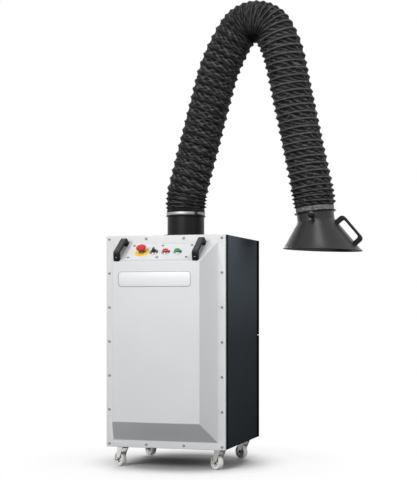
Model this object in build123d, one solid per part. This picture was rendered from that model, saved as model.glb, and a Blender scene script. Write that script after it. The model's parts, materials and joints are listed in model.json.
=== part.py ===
from build123d import *
import math
import os

# Mobile welding fume extractor: a sheet-metal cabinet on four swivel casters, with a fume arm on top.
# Millimetres. X is to the right, Y to the back and Z up.
# The origin is on the floor, under the arm's swivel axis.

# Cabinet
cabinet_width = 510
cabinet_height = 868
body_depth = 525
caster_height = 90
arm_setback = 280
cabinet_sheet = 1.5
panel_inset = 1.5
shadow_gap = 5
return_width = 22
tray_height = 45
door_split_height = 451
overrun = 5

# Front cover, a pan with a raised and hipped middle
cover_sheet = 1.5
cover_lip = 12
cover_flange = 30
cover_rise = 121
cover_side_run = 41.5
cover_top_run = 81
cover_bottom_run = 85
cover_screw_edge = 13.5
cover_screws_up = 7
cover_screws_across = 4
frame_clearance = 0.5
frame_bar = 23

# Pan-head screws
screw_head_radius = 4.6
screw_head_height = 2.4
screw_shank_radius = 2
screw_length = 9
screw_hole_clearance = 0.4
screw_edge_chamfer = 0.8

# Control plate and its controls, in a row on the cover's top slope
plate_width = 270
plate_length = 116
plate_thickness = 2
plate_corner_radius = 3
plate_screw_pitch_x = 123
plate_screw_pitch_y = 90
plate_window_margin = 22
control_row = -5
estop_x = -75
selector_x = -25
stop_x = 25
start_x = 75
switch_hole_radius = 11.2
switch_barrel_radius = 11
barrel_bore_radius = 7.5
stem_radius = 7
barrel_depth = 26
bezel_radius = 15
bezel_height = 5
bezel_recess = 2.5
bezel_face_radius = 12.4
bezel_round = 1.6
button_radius = 12
button_height = 8
button_travel = 3
button_round = 1
estop_disc_radius = 30
estop_disc_thickness = 1.6
estop_collar_radius = 14.5
estop_collar_top_radius = 12.5
estop_collar_height = 9
estop_head_radius = 20
estop_head_height = 13
estop_gap = 6
estop_travel = 5
dome_edge_share = 0.5
dome_foot_share = 0.8
dome_roundness = 0.5523
knob_grip_width = 8
knob_grip_height = 11
knob_grip_round = 1.6
knob_disc_radius = 12
knob_disc_height = 5
contact_block_width = 30
contact_block_length = 42
contact_block_height = 32
running_gap = 0.3
contact_gap = 0.1

# Bridge handles on the same slope
handle_x = 165
handle_pitch = 117
handle_height = 36
handle_width = 24
handle_bar = 15
handle_foot_length = 22
handle_foot_height = 8
handle_slant = 14
handle_bevel = 5
handle_chamfer = 3

# Rear doors, hinges and quarter-turn locks
door_depth = 34
door_gap = 3
door_edge_radius = 3
hinge_barrel_radius = 5
hinge_pin_radius = 2.5
hinge_pin_clearance = 0.15
hinge_leaf_thickness = 1.8
hinge_leaf_width = 20
hinge_knuckle_length = 28
hinge_knuckle_gap = 0.4
hinge_end_inset = 70
lock_inset = 45
lock_knob_radius = 16
lock_knob_height = 9
lock_grip_width = 7
lock_grip_length = 29
lock_grip_height = 12
lock_shaft_radius = 6
lock_shaft_clearance = 0.4
lock_tongue_length = 34
lock_tongue_width = 14
lock_tongue_thickness = 2
lock_tongue_gap = 2.5
louvre_rows = 9
louvre_columns = 2
louvre_length = 165
louvre_pitch = 24
louvre_column_gap = 24
louvre_lift = 7
louvre_height = 14
louvre_bottom = 130

# Filters on the shelf between the two chambers
shelf_thickness = 1.5
shelf_flange = 25
shelf_hole_radius = 88
filter_side_gap = 17
filter_height = 190
filter_frame_wall = 8
filter_gasket_height = 8
filter_gasket_width = 14
pleat_count = 22
pleat_media = 3
pleat_inset = 10
mesh_frame_height = 22
mesh_frame_width = 16
mesh_bar = 4
mesh_bars = 16

# Fan below the shelf
scroll_radius = 118
scroll_growth = 17
scroll_height = 112
scroll_wall = 1.5
scroll_outlet_reach = 214
scroll_outlet_extra = 20
impeller_radius = 98
impeller_eye_radius = 68
impeller_height = 84
impeller_plate = 2
impeller_hub_radius = 18
impeller_clearance = 10
blade_count = 10
blade_inner_radius = 61
blade_radius = 110
blade_offset = 68
blade_thickness = 2
fan_shaft_radius = 9
fan_shaft_clearance = 0.5
motor_radius = 72
motor_length = 175
motor_flange_radius = 86
motor_flange_thickness = 10
motor_fins = 18
motor_fin_height = 6
motor_fin_thickness = 3
motor_fan_cover_length = 40
motor_box_width = 70
motor_box_height = 60
motor_box_depth = 36
motor_box_foot = 14
electrics_width = 55
electrics_length = 190
electrics_height = 170
electrics_base = 40
gland_radius = 12
gland_length = 20
gland_thread_radius = 8.5
gland_dome_foot = 10.8
gland_dome_tip = 7.2
gland_bore_radius = 5
gland_from_rear = 60
gland_above_base = 60
gland_nut_thickness = 7

# Casters
caster_inset_x = 44
caster_inset_front = 78
caster_inset_rear = 64
caster_plate_size = 60
caster_plate_thickness = 2.5
race_radius = 19
race_height = 6
race_gap = 0.4
fork_crown_thickness = 3
fork_sheet = 2.2
fork_top_half = 19
fork_boss_radius = 9
fork_side_gap = 1.6
wheel_radius = 30
wheel_width = 23
wheel_crown = 2
wheel_hub_radius = 9
wheel_web = 7
wheel_rim = 7
wheel_bore_clearance = 0.25
axle_radius = 4
axle_head_radius = 7
axle_head_height = 4
caster_trail = 19
caster_angle = 146.5

# Arm swivel on the cabinet top
collar_radius = 79
collar_wall = 2
collar_top_above_cabinet = 110
collar_tail = 22
swivel_ring_radius = 104
swivel_ring_height = 10
swivel_gap = 1
turret_flange_radius = 98
turret_flange_thickness = 4
retainer_radius = 90
retainer_thickness = 4
retainer_drop = 12

# Fume hose: the centre line runs up from the collar, over the elbow and down to the hood
hose_start_above_cabinet = 97
hose_cuff = 28
hose_cuff_straight = 20
lower_bend_radius = 400
lower_bend_angle = 15.2
lower_run = 438
easy_bend_radius = 725
easy_bend_angle = 19
elbow_radius = 93.5
elbow_angle = 115
over_bend_radius = 413
over_bend_angle = 18.8
upper_run = 552
hood_bend_radius = 600
hood_bend_angle = 6
hose_end = 34
hose_end_cuff = 20
hose_crest_radius = 86.5
hose_valley_radius = 79.5
hose_bore_radius = 77.5
hose_cuff_wall = 2
hose_fit_gap = 0.4
hose_bore_step = 12
hose_bore_least = 7
lower_ribs = 24
elbow_ribs = 12
upper_ribs = 22
hood_ribs = 4
hood_rib_run = 80
lower_piece_ribs = 15
upper_piece_ribs = 17
clamp_width = 12
clamp_thickness = 1.4
clamp_above_hose_start = 1.5
clamp_housing_height = 6
clamp_angle = 60

# Carrying arm inside the hose
arm_tube_radius = 15
arm_tube_wall = 2
lower_tube_length = 640
upper_tube_length = 640
elbow_pivot_offset = 62
lug_radius = 20
lug_end_radius = 18
link_end_radius = 16
lug_thickness = 10
fork_plate = 4
washer_thickness = 1.6
washer_gap = 0.2
washer_radius = 17
pivot_radius = 5
pivot_clearance = 0.25
pivot_head_radius = 9
pivot_head_height = 5
tube_start = 32
bracket_width = 30
bracket_thickness = 6
bracket_drop = 118
spider_width = 16
spider_thickness = 5
spider_depth = -7

# Hood
hood_tilt = 6
neck_radius = 77
neck_length = 37.5
neck_up = 15
hood_wall = 1.6
hood_cone_angle = 34.3
rim_left_depth = 140.8
rim_right_depth = 186
rim_left_radius = 147.5
rim_right_radius = 178.3
rim_bead = 2.6
rim_bead_width = 4.2
ring_radius = 87
ring_height = 6
wrist_above_neck = 60
swivel_stud_radius = 6
swivel_stud_clearance = 0.3
swivel_head_radius = 9
swivel_head_height = 4
bush_radius = 11
damper_depth = 19
damper_gap = 2.5
damper_plate = 1.5
damper_shaft_radius = 4
damper_shaft_clearance = 0.4
damper_knob_radius = 13
damper_knob_height = 18
damper_knob_gap = 8
damper_boss_radius = 9
hood_handle_from = 10
hood_handle_length = 136
hood_handle_reach = 38
hood_handle_bar = 10.5
hood_handle_leg = 20
hood_handle_width = 24
hood_handle_corner = 15
hood_handle_window_corner = 7.5

# Places worked out from the sizes
half_width = cabinet_width / 2
cabinet_base = caster_height
cabinet_top = caster_height + cabinet_height
front_y = -arm_setback
rear_y = front_y + body_depth
panel_outer = half_width - panel_inset
panel_inner = panel_outer - cabinet_sheet
panel_front = front_y + cover_lip + shadow_gap
shelf_z = cabinet_base + door_split_height
inner_front = panel_front + cabinet_sheet
inner_rear = rear_y - cabinet_sheet

# The cover's top slope, on which the control plate and the handles sit
slope_top = Vector(0, front_y, cabinet_top - cover_flange)
slope_foot = Vector(0, front_y - cover_rise, cabinet_top - cover_flange - cover_top_run)
slope_up = (slope_top - slope_foot).normalized()
slope_normal = Vector(1, 0, 0).cross(slope_up).normalized()
slope = Plane(origin=(slope_top + slope_foot) / 2, x_dir=(1, 0, 0), z_dir=slope_normal)
plate_face = slope.offset(plate_thickness)


def block(low, high):
    """A box from its low corner to its high corner."""
    size = [b - a for a, b in zip(low, high)]
    middle = [(a + b) / 2 for a, b in zip(low, high)]
    return Pos(*middle) * Box(*size)


def round_bar(start, end, radius):
    """A round bar between two points."""
    axis = Vector(*end) - Vector(*start)
    frame = Plane(origin=start, z_dir=axis.normalized())
    return frame * extrude(Circle(radius), amount=axis.length)


def ring(frame, outer, inner, height):
    """A flat ring that stands on a plane."""
    return frame * extrude(Circle(outer) - Circle(inner), amount=height)


def pan_head_screw(frame, length):
    """A pan-head screw whose head sits on the plane and whose shank goes below it."""
    head = extrude(Circle(screw_head_radius), amount=screw_head_height)
    head = chamfer(head.edges().group_by(Axis.Z)[-1], screw_edge_chamfer)
    shank = extrude(Circle(screw_shank_radius), amount=-length)
    return frame * (head + shank)


def save(name, shape):
    """Write one node, as a solid or as a group of separate solids."""
    solids = shape.solids()
    node = solids[0] if len(solids) == 1 else Compound(children=list(solids))
    node.label = name
    export_step(node, f"parts/{name}.step")


def cover_screw_places():
    """Centres of the screws round the cover's flange, as x and z."""
    x_edge = half_width - cover_screw_edge
    z_low = cabinet_base + cover_screw_edge
    z_high = cabinet_top - cover_screw_edge
    up_step = (z_high - z_low) / (cover_screws_up - 1)
    across_step = 2 * x_edge / (cover_screws_across - 1)
    sides = [(side * x_edge, z_low + i * up_step) for side in (-1, 1) for i in range(cover_screws_up)]
    inner = [-x_edge + i * across_step for i in range(1, cover_screws_across - 1)]
    return sides + [(x, z) for x in inner for z in (z_low, z_high)]


def screw_hole(x, z, start_y, depth):
    """A round hole for a cover screw, cut to the back from a depth along Y."""
    radius = screw_shank_radius + screw_hole_clearance
    return round_bar((x, start_y, z), (x, start_y + depth, z), radius)


def hipped_solid(inset):
    """The raised middle of the cover, all faces moved inward by the inset."""
    tilt_side = math.atan2(cover_side_run, cover_rise)
    tilt_top = math.atan2(cover_top_run, cover_rise)
    tilt_bottom = math.atan2(cover_bottom_run, cover_rise)
    foot_side = half_width - cover_flange - inset / math.cos(tilt_side)
    foot_top = cabinet_top - cover_flange - inset / math.cos(tilt_top)
    foot_bottom = cabinet_base + cover_flange + inset / math.cos(tilt_bottom)
    rise = cover_rise - inset
    face_side = foot_side - rise * math.tan(tilt_side)
    face_top = foot_top - rise * math.tan(tilt_top)
    face_bottom = foot_bottom + rise * math.tan(tilt_bottom)
    foot = Plane.XZ.offset(-front_y) * Pos(0, (foot_top + foot_bottom) / 2)
    face = Plane.XZ.offset(-front_y + rise) * Pos(0, (face_top + face_bottom) / 2)
    foot_sketch = foot * Rectangle(2 * foot_side, foot_top - foot_bottom)
    face_sketch = face * Rectangle(2 * face_side, face_top - face_bottom)
    return loft([foot_sketch, face_sketch], ruled=True)


def front_cover():
    """Pan-shaped cover: flange, returned lips and the hipped middle, all of one sheet."""
    outer = block((-half_width, front_y, cabinet_base), (half_width, front_y + cover_lip, cabinet_top))
    inner = block((-half_width + cover_sheet, front_y + cover_sheet, cabinet_base + cover_sheet),
                  (half_width - cover_sheet, front_y + cover_lip + overrun, cabinet_top - cover_sheet))
    hole_side = half_width - cover_flange - cover_sheet
    hole_low = cabinet_base + cover_flange + cover_sheet
    hole_high = cabinet_top - cover_flange - cover_sheet
    opening = block((-hole_side, front_y - overrun, hole_low),
                    (hole_side, front_y + cover_sheet, hole_high))
    cover = outer - inner - opening + hipped_solid(0)
    cover -= hipped_solid(cover_sheet)
    window_x = plate_width / 2 - plate_window_margin
    window_y = plate_length / 2 - plate_window_margin
    window = extrude(Rectangle(2 * window_x, 2 * window_y), amount=cover_sheet + overrun, both=True)
    cover -= slope * window
    for x, z in cover_screw_places():
        cover -= screw_hole(x, z, front_y - overrun, cover_sheet + 2 * overrun)
    hole = Circle(screw_shank_radius + screw_hole_clearance)
    for x, y in plate_screw_places():
        cover -= slope * Pos(x, y) * extrude(hole, amount=cover_sheet + overrun, both=True)
    return cover


def cover_frame():
    """Bar frame behind the cover's flange, which takes the cover screws and leaves the shadow gap."""
    side = half_width - cover_sheet - frame_clearance
    low = cabinet_base + cover_sheet + frame_clearance
    high = cabinet_top - cover_sheet - frame_clearance
    frame = block((-side, front_y + cover_sheet, low), (side, panel_front, high))
    frame -= block((-side + frame_bar, front_y, low + frame_bar),
                   (side - frame_bar, rear_y, high - frame_bar))
    for x, z in cover_screw_places():
        frame -= screw_hole(x, z, front_y, screw_length + overrun)
    return frame


def side_panel(side):
    """Side sheet with a return at the front for the cover frame and one at the rear for the doors."""
    low = cabinet_base
    high = cabinet_top - cabinet_sheet
    x0, x1 = sorted((side * panel_inner, side * panel_outer))
    r0, r1 = sorted((side * (panel_outer - return_width), side * panel_inner))
    panel = block((x0, panel_front, low), (x1, rear_y, high))
    panel += block((r0, panel_front, low), (r1, inner_front, high))
    panel += block((r0, inner_rear, low), (r1, rear_y, high))
    if side < 0:
        panel -= gland_axis_bar(gland_thread_radius)
    return panel


def top_panel():
    """Top sheet with lips inside the side panels and the round opening for the arm."""
    top = block((-panel_outer, panel_front, cabinet_top - cabinet_sheet),
                (panel_outer, rear_y, cabinet_top))
    for side in (-1, 1):
        x0, x1 = sorted((side * (panel_inner - cabinet_sheet), side * panel_inner))
        top += block((x0, inner_front, cabinet_top - return_width),
                     (x1, inner_rear, cabinet_top - cabinet_sheet))
    return top - Pos(0, 0, cabinet_top) * Cylinder(collar_radius + swivel_gap, 2 * return_width)


def base_tray():
    """Folded floor tray between the side panels."""
    low = (-panel_inner, inner_front, cabinet_base)
    high = (panel_inner, inner_rear, cabinet_base + tray_height)
    tray = block(low, high)
    inner_low = [v + cabinet_sheet for v in low]
    inner_high = (high[0] - cabinet_sheet, high[1] - cabinet_sheet, high[2] + overrun)
    return tray - block(inner_low, inner_high)


def chamber_shelf():
    """Shelf between the filter chamber and the fan chamber, with flanges down and the fan inlet."""
    low = (-panel_inner, inner_front, shelf_z - shelf_flange)
    high = (panel_inner, inner_rear, shelf_z + shelf_thickness)
    shelf = block(low, high)
    inner_low = (low[0] + cabinet_sheet, low[1] + cabinet_sheet, low[2] - overrun)
    inner_high = (high[0] - cabinet_sheet, high[1] - cabinet_sheet, shelf_z)
    shelf -= block(inner_low, inner_high)
    return shelf - Pos(0, 0, shelf_z) * Cylinder(shelf_hole_radius, 2 * shelf_flange)


def plate_screw_places():
    """Centres of the control plate's screws on the slope."""
    rows = (-plate_screw_pitch_y / 2, plate_screw_pitch_y / 2)
    return [(i * plate_screw_pitch_x, y) for i in (-1, 0, 1) for y in rows]


def control_plate():
    """Plate on the top slope with the holes for the controls."""
    face = RectangleRounded(plate_width, plate_length, plate_corner_radius)
    for x in (estop_x, selector_x, stop_x, start_x):
        face -= Pos(x, control_row) * Circle(switch_hole_radius)
    for x, y in plate_screw_places():
        face -= Pos(x, y) * Circle(screw_shank_radius + screw_hole_clearance)
    return slope * extrude(face, amount=plate_thickness)


def switch_body(x):
    """Chrome bezel on the plate and the barrel that goes through it, bored for the stem."""
    bezel = extrude(Circle(bezel_radius), amount=bezel_height)
    bezel = fillet(bezel.edges().group_by(Axis.Z)[-1], bezel_round)
    bezel -= Pos(0, 0, bezel_height - bezel_recess) * extrude(Circle(bezel_face_radius), amount=bezel_height)
    barrel = extrude(Circle(switch_barrel_radius), amount=-barrel_depth)
    body = bezel + barrel
    body -= extrude(Circle(barrel_bore_radius), amount=barrel_depth + bezel_height, both=True)
    return plate_face * Pos(x, control_row) * body


def push_button(x):
    """Round coloured button, whose stem slides in the barrel."""
    low = bezel_height - bezel_recess + button_travel + running_gap
    cap = Pos(0, 0, low) * extrude(Circle(button_radius), amount=button_height - button_travel)
    cap = fillet(cap.edges().group_by(Axis.Z)[-1], button_round)
    stem = Pos(0, 0, low) * extrude(Circle(stem_radius), amount=-barrel_depth + button_travel)
    return plate_face * Pos(x, control_row) * (cap + stem)


def selector_knob():
    """Selector: a disc with a raised grip across it and a stem in the barrel."""
    low = bezel_height - bezel_recess + running_gap
    disc = Pos(0, 0, low) * extrude(Circle(knob_disc_radius), amount=knob_disc_height)
    grip = Rectangle(knob_grip_width, 2 * knob_disc_radius) & Circle(knob_disc_radius)
    bar = Pos(0, 0, low) * extrude(grip, amount=knob_disc_height + knob_grip_height)
    bar = fillet(bar.edges().group_by(Axis.Z)[-1], knob_grip_round)
    stem = Pos(0, 0, low) * extrude(Circle(stem_radius), amount=-barrel_depth + button_travel)
    return plate_face * Pos(selector_x, control_row) * (disc + bar + stem)


def estop_disc():
    """Yellow legend disc under the emergency stop."""
    face = Circle(estop_disc_radius) - Circle(switch_barrel_radius + running_gap)
    return plate_face * Pos(estop_x, control_row) * extrude(face, amount=estop_disc_thickness)


def estop_body():
    """Collar and barrel of the emergency stop."""
    low = estop_disc_thickness
    collar = Pos(0, 0, low) * Cone(estop_collar_radius, estop_collar_top_radius, estop_collar_height,
                                   align=(Align.CENTER, Align.CENTER, Align.MIN))
    barrel = Pos(0, 0, low) * extrude(Circle(switch_barrel_radius), amount=-barrel_depth)
    body = collar + barrel
    bore_reach = barrel_depth + estop_collar_height + overrun
    body -= extrude(Circle(barrel_bore_radius), amount=bore_reach, both=True)
    return plate_face * Pos(estop_x, control_row) * body


def domed_head(low, high, radius):
    """Solid of revolution with an undercut foot and a domed top."""
    edge = low + (high - low) * dome_edge_share
    bulge = dome_roundness
    dome = Bezier((0, high), (bulge * radius, high), (radius, edge + bulge * (high - edge)), (radius, edge))
    rest = Polyline((0, high), (0, low), (radius * dome_foot_share, low), (radius, edge))
    return revolve(Plane.XZ * make_face(dome + rest), Axis.Z)


def estop_button():
    """Red mushroom head on its stem."""
    low = estop_disc_thickness + estop_collar_height + estop_gap
    head = domed_head(low, low + estop_head_height, estop_head_radius)
    stem = Pos(0, 0, low) * extrude(Circle(stem_radius), amount=-barrel_depth + estop_travel)
    return plate_face * Pos(estop_x, control_row) * (head + stem)


def contact_blocks():
    """Contact blocks under the switch barrels."""
    blocks = []
    for x, raise_by in ((estop_x, estop_disc_thickness), (selector_x, 0), (stop_x, 0), (start_x, 0)):
        face = Rectangle(contact_block_width, contact_block_length)
        low = raise_by - barrel_depth
        blocks.append(plate_face * Pos(x, control_row, low) * extrude(face, amount=-contact_block_height))
    return Compound(children=blocks)


def bridge_handle(side):
    """Moulded bridge handle: two feet on the slope, slanted legs and a straight grip."""
    half = handle_pitch / 2 + handle_foot_length / 2
    foot_in = half - handle_foot_length
    grip_half = half - handle_slant
    under = handle_height - handle_bar
    right = [(grip_half - handle_bevel, handle_height),
             (grip_half + handle_bevel, handle_height - handle_bevel), (half, handle_foot_height),
             (half, 0), (foot_in, 0), (foot_in, handle_foot_height), (grip_half - handle_bar, under)]
    left = [(-x, z) for x, z in reversed(right)]
    outline = Polyline(*right, *left, close=True)
    profile = Plane.YZ * make_face(outline)
    handle = extrude(profile, amount=handle_width / 2, both=True)
    outer_edges = handle.edges().filter_by(Axis.Y).group_by(Axis.Z)[-1]
    handle = chamfer(outer_edges, handle_chamfer)
    return slope * Pos(side * handle_x, 0) * handle


def rear_door(low, high, louvres):
    """Door pan with folded edges and a lock hole; the lower one has louvres for the exhaust air."""
    door = block((-panel_outer, rear_y, low), (panel_outer, rear_y + door_depth, high))
    door = fillet(door.edges().filter_by(Axis.Z).group_by(Axis.Y)[-1], door_edge_radius)
    door -= block((-panel_outer + cabinet_sheet, rear_y - overrun, low + cabinet_sheet),
                  (panel_outer - cabinet_sheet, rear_y + door_depth - cabinet_sheet, high - cabinet_sheet))
    lock_z = (low + high) / 2
    lock_x = panel_outer - lock_inset
    radius = lock_shaft_radius + lock_shaft_clearance
    door -= round_bar((lock_x, rear_y, lock_z), (lock_x, rear_y + door_depth + overrun, lock_z), radius)
    if louvres:
        face_y = rear_y + door_depth
        for column in range(louvre_columns):
            place = column - (louvre_columns - 1) / 2
            x = place * (louvre_length + louvre_column_gap) - lock_inset / 2
            for row in range(louvre_rows):
                z = low + louvre_bottom - louvre_pitch + row * louvre_pitch
                door = add_louvre(door, x, z, face_y)
    return door


def add_louvre(door, x, z, face_y):
    """One pressed louvre: a hood over a slot, open downward."""
    x0 = x - louvre_length / 2
    x1 = x + louvre_length / 2
    skin = cabinet_sheet
    hood = Polyline((face_y, z), (face_y + louvre_lift, z), (face_y, z + louvre_height), close=True)
    hood = extrude(Plane.YZ * Pos(0, 0, x0) * make_face(hood), amount=x1 - x0)
    inside = Polyline((face_y - 2 * skin, z - skin), (face_y + louvre_lift - skin, z - skin),
                      (face_y - 2 * skin, z + louvre_height), close=True)
    inside = extrude(Plane.YZ * Pos(0, 0, x0 + skin) * make_face(inside), amount=x1 - x0 - 2 * skin)
    return door + hood - inside


def door_hinge_places(low, high):
    """Heights at which a door's two hinges are centred."""
    return (low + hinge_end_inset, high - hinge_end_inset)


def hinge_axis_x():
    """The hinge barrels stand just clear of the left panel."""
    return -panel_outer - running_gap - hinge_barrel_radius


def hinge_half(z, direction):
    """One leaf and knuckle of a hinge: direction -1 is on the side panel, 1 on the door."""
    x = hinge_axis_x()
    low = z + hinge_knuckle_gap / 2 if direction > 0 else z - hinge_knuckle_gap / 2 - hinge_knuckle_length
    frame = Plane(origin=(x, rear_y, low))
    knuckle = frame * extrude(Circle(hinge_barrel_radius), amount=hinge_knuckle_length)
    y0, y1 = sorted((rear_y + direction * running_gap, rear_y + direction * hinge_leaf_width))
    leaf = block((-panel_outer - hinge_leaf_thickness, y0, low),
                 (-panel_outer, y1, low + hinge_knuckle_length))
    half = knuckle + leaf
    bore = hinge_pin_radius + (hinge_pin_clearance if direction > 0 else 0)
    return half - frame * extrude(Circle(bore), amount=hinge_knuckle_length)


def hinge_pin(z):
    """Pin through both knuckles of a hinge."""
    x = hinge_axis_x()
    reach = hinge_knuckle_length + hinge_knuckle_gap / 2
    return round_bar((x, rear_y, z - reach), (x, rear_y, z + reach), hinge_pin_radius)


def door_lock(low, high):
    """Quarter-turn lock: knob outside, shaft through the door, tongue inside; shown turned to open."""
    z = (low + high) / 2
    x = panel_outer - lock_inset
    outer = rear_y + door_depth
    knob = round_bar((x, outer + running_gap, z), (x, outer + lock_knob_height, z), lock_knob_radius)
    grip_top = outer + lock_knob_height + lock_grip_height
    grip = block((x - lock_grip_width / 2, outer + running_gap, z - lock_grip_length / 2),
                 (x + lock_grip_width / 2, grip_top, z + lock_grip_length / 2))
    tongue_y = inner_rear - lock_tongue_gap
    shaft = round_bar((x, tongue_y, z), (x, outer + lock_knob_height, z), lock_shaft_radius)
    half = lock_tongue_width / 2
    tongue = block((x - half, tongue_y - lock_tongue_thickness, z - half),
                   (x + half, tongue_y, z + lock_tongue_length))
    return knob + grip + shaft + tongue


def filter_frame():
    """Square frame of the main filter."""
    side = panel_inner - filter_side_gap
    front = inner_front + filter_side_gap
    rear = inner_rear - filter_side_gap
    low = shelf_z + shelf_thickness + filter_gasket_height
    wall = filter_frame_wall
    frame = block((-side, front, low), (side, rear, low + filter_height))
    return frame - block((-side + wall, front + wall, low - overrun),
                         (side - wall, rear - wall, low + filter_height + overrun))


def filter_pleats():
    """Pleated medium inside the frame, one folded sheet."""
    side = panel_inner - filter_side_gap - filter_frame_wall
    front = inner_front + filter_side_gap + filter_frame_wall
    rear = inner_rear - filter_side_gap - filter_frame_wall
    low = shelf_z + shelf_thickness + filter_gasket_height + pleat_inset
    high = low + filter_height - 2 * pleat_inset
    pitch = 2 * side / pleat_count
    upper = [(-side + i * pitch, high if i % 2 else low + pleat_media) for i in range(pleat_count + 1)]
    lower = [(x, z - pleat_media) for x, z in reversed(upper)]
    face = make_face(Polyline(*upper, *lower, close=True))
    return extrude(Plane.XZ.offset(-rear) * face, amount=rear - front)


def filter_gasket():
    """Foam gasket between the shelf and the filter."""
    side = panel_inner - filter_side_gap
    front = inner_front + filter_side_gap
    rear = inner_rear - filter_side_gap
    low = shelf_z + shelf_thickness
    gasket = block((-side, front, low), (side, rear, low + filter_gasket_height))
    width = filter_gasket_width
    return gasket - block((-side + width, front + width, low - overrun),
                          (side - width, rear - width, low + filter_gasket_height + overrun))


def spark_screen():
    """Spark screen on top of the filter: a frame with bars across it."""
    side = panel_inner - filter_side_gap
    front = inner_front + filter_side_gap
    rear = inner_rear - filter_side_gap
    low = shelf_z + shelf_thickness + filter_gasket_height + filter_height
    high = low + mesh_frame_height
    screen = block((-side, front, low), (side, rear, high))
    width = mesh_frame_width
    screen -= block((-side + width, front + width, low - overrun),
                    (side - width, rear - width, high + overrun))
    middle = (low + high) / 2
    span = 2 * (side - width)
    for i in range(1, mesh_bars):
        x = -side + width + span * i / mesh_bars
        screen += block((x - mesh_bar / 2, front + width, middle - mesh_bar / 2),
                        (x + mesh_bar / 2, rear - width, middle + mesh_bar / 2))
    return screen


def scroll_outline(radius, reach):
    """Volute of four quarter arcs that widen step by step, with a straight outlet to the rear."""
    step = scroll_growth
    start = (radius, 0)
    arc1 = JernArc(start, (0, 1), radius, 90)
    arc2 = JernArc(arc1 @ 1, arc1 % 1, radius + step, 90)
    arc3 = JernArc(arc2 @ 1, arc2 % 1, radius + 2 * step, 90)
    arc4 = JernArc(arc3 @ 1, arc3 % 1, radius + 3 * step, 90)
    volute = make_face(arc1 + arc2 + arc3 + arc4 + Line(arc4 @ 1, start))
    width = 4 * step + scroll_outlet_extra
    outlet = Pos(radius + 4 * step - width / 2, reach / 2) * Rectangle(width, reach)
    return volute + outlet


def fan_scroll():
    """Scroll housing of the fan, open at the inlet, at the outlet and for the shaft."""
    low = shelf_z - scroll_height
    wall = scroll_wall
    outer = Pos(0, 0, low) * extrude(scroll_outline(scroll_radius, scroll_outlet_reach), amount=scroll_height)
    cavity = scroll_outline(scroll_radius - wall, scroll_outlet_reach + overrun)
    inner = Pos(0, 0, low + wall) * extrude(cavity, amount=scroll_height - 2 * wall)
    inlet = Pos(0, 0, shelf_z) * Cylinder(impeller_eye_radius, 2 * overrun)
    shaft_hole = Pos(0, 0, low) * Cylinder(fan_shaft_radius + 2 * fan_shaft_clearance, 2 * overrun)
    return outer - inner - inlet - shaft_hole


def fan_impeller():
    """Impeller with a back plate, a hub, curved blades and a shroud ring."""
    low = shelf_z - scroll_height + scroll_wall + impeller_clearance
    high = low + impeller_height
    back = ring(Plane(origin=(0, 0, low)), impeller_radius, fan_shaft_radius, impeller_plate)
    hub = ring(Plane(origin=(0, 0, low)), impeller_hub_radius, fan_shaft_radius, impeller_height / 2)
    shroud_frame = Plane(origin=(0, 0, high - impeller_plate))
    shroud = ring(shroud_frame, impeller_radius, impeller_eye_radius, impeller_plate)
    wheel = back + hub + shroud
    band = Circle(impeller_radius) - Circle(blade_inner_radius)
    strip = Circle(blade_radius) - Circle(blade_radius - blade_thickness)
    strip = Pos(0, -blade_offset) * strip & band
    strip = strip & Pos(impeller_radius, 0) * Rectangle(2 * impeller_radius, 2 * impeller_radius)
    blade = Pos(0, 0, low) * extrude(strip, amount=impeller_height)
    for i in range(blade_count):
        wheel += Rot(0, 0, i * 360 / blade_count) * blade
    return wheel


def fan_shaft():
    """Motor shaft that carries the impeller."""
    low = shelf_z - scroll_height - motor_length + motor_fan_cover_length
    high = shelf_z - scroll_height + scroll_wall + impeller_clearance + impeller_height / 2
    return round_bar((0, 0, low), (0, 0, high), fan_shaft_radius)


def fan_motor():
    """Flange motor under the scroll, with ribs, a fan cover and a terminal box."""
    high = shelf_z - scroll_height
    low = high - motor_length
    motor = round_bar((0, 0, low), (0, 0, high), motor_radius)
    motor += round_bar((0, 0, high - motor_flange_thickness), (0, 0, high), motor_flange_radius)
    fin_low = low + motor_fan_cover_length
    fin = block((motor_radius - motor_fin_height / 2, -motor_fin_thickness / 2, fin_low),
                (motor_radius + motor_fin_height, motor_fin_thickness / 2, high - motor_flange_thickness))
    for i in range(motor_fins):
        motor += Rot(0, 0, (i + 0.5) * 360 / motor_fins) * fin
    box_x = motor_radius + motor_fin_height
    middle = (fin_low + high) / 2
    motor += block((-box_x - motor_box_depth, -motor_box_width / 2, middle - motor_box_height / 2),
                   (-motor_radius + motor_box_foot, motor_box_width / 2, middle + motor_box_height / 2))
    bore_low = low + motor_fan_cover_length / 2
    bore = round_bar((0, 0, bore_low), (0, 0, high + overrun), fan_shaft_radius + fan_shaft_clearance)
    return motor - bore


def electrics_box():
    """Switchgear box on the inside of the left panel."""
    x0 = -panel_inner
    z0 = cabinet_base + tray_height + electrics_base
    box = block((x0, -electrics_length / 2, z0),
                (x0 + electrics_width, electrics_length / 2, z0 + electrics_height))
    return chamfer(box.edges().group_by(Axis.X)[-1], cabinet_sheet)


def gland_axis_bar(radius):
    """A bar along the cable gland's axis, through the left panel."""
    y = rear_y - gland_from_rear
    z = cabinet_base + gland_above_base
    return round_bar((-panel_outer - gland_length, y, z),
                     (-panel_inner + gland_nut_thickness, y, z), radius)


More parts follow.
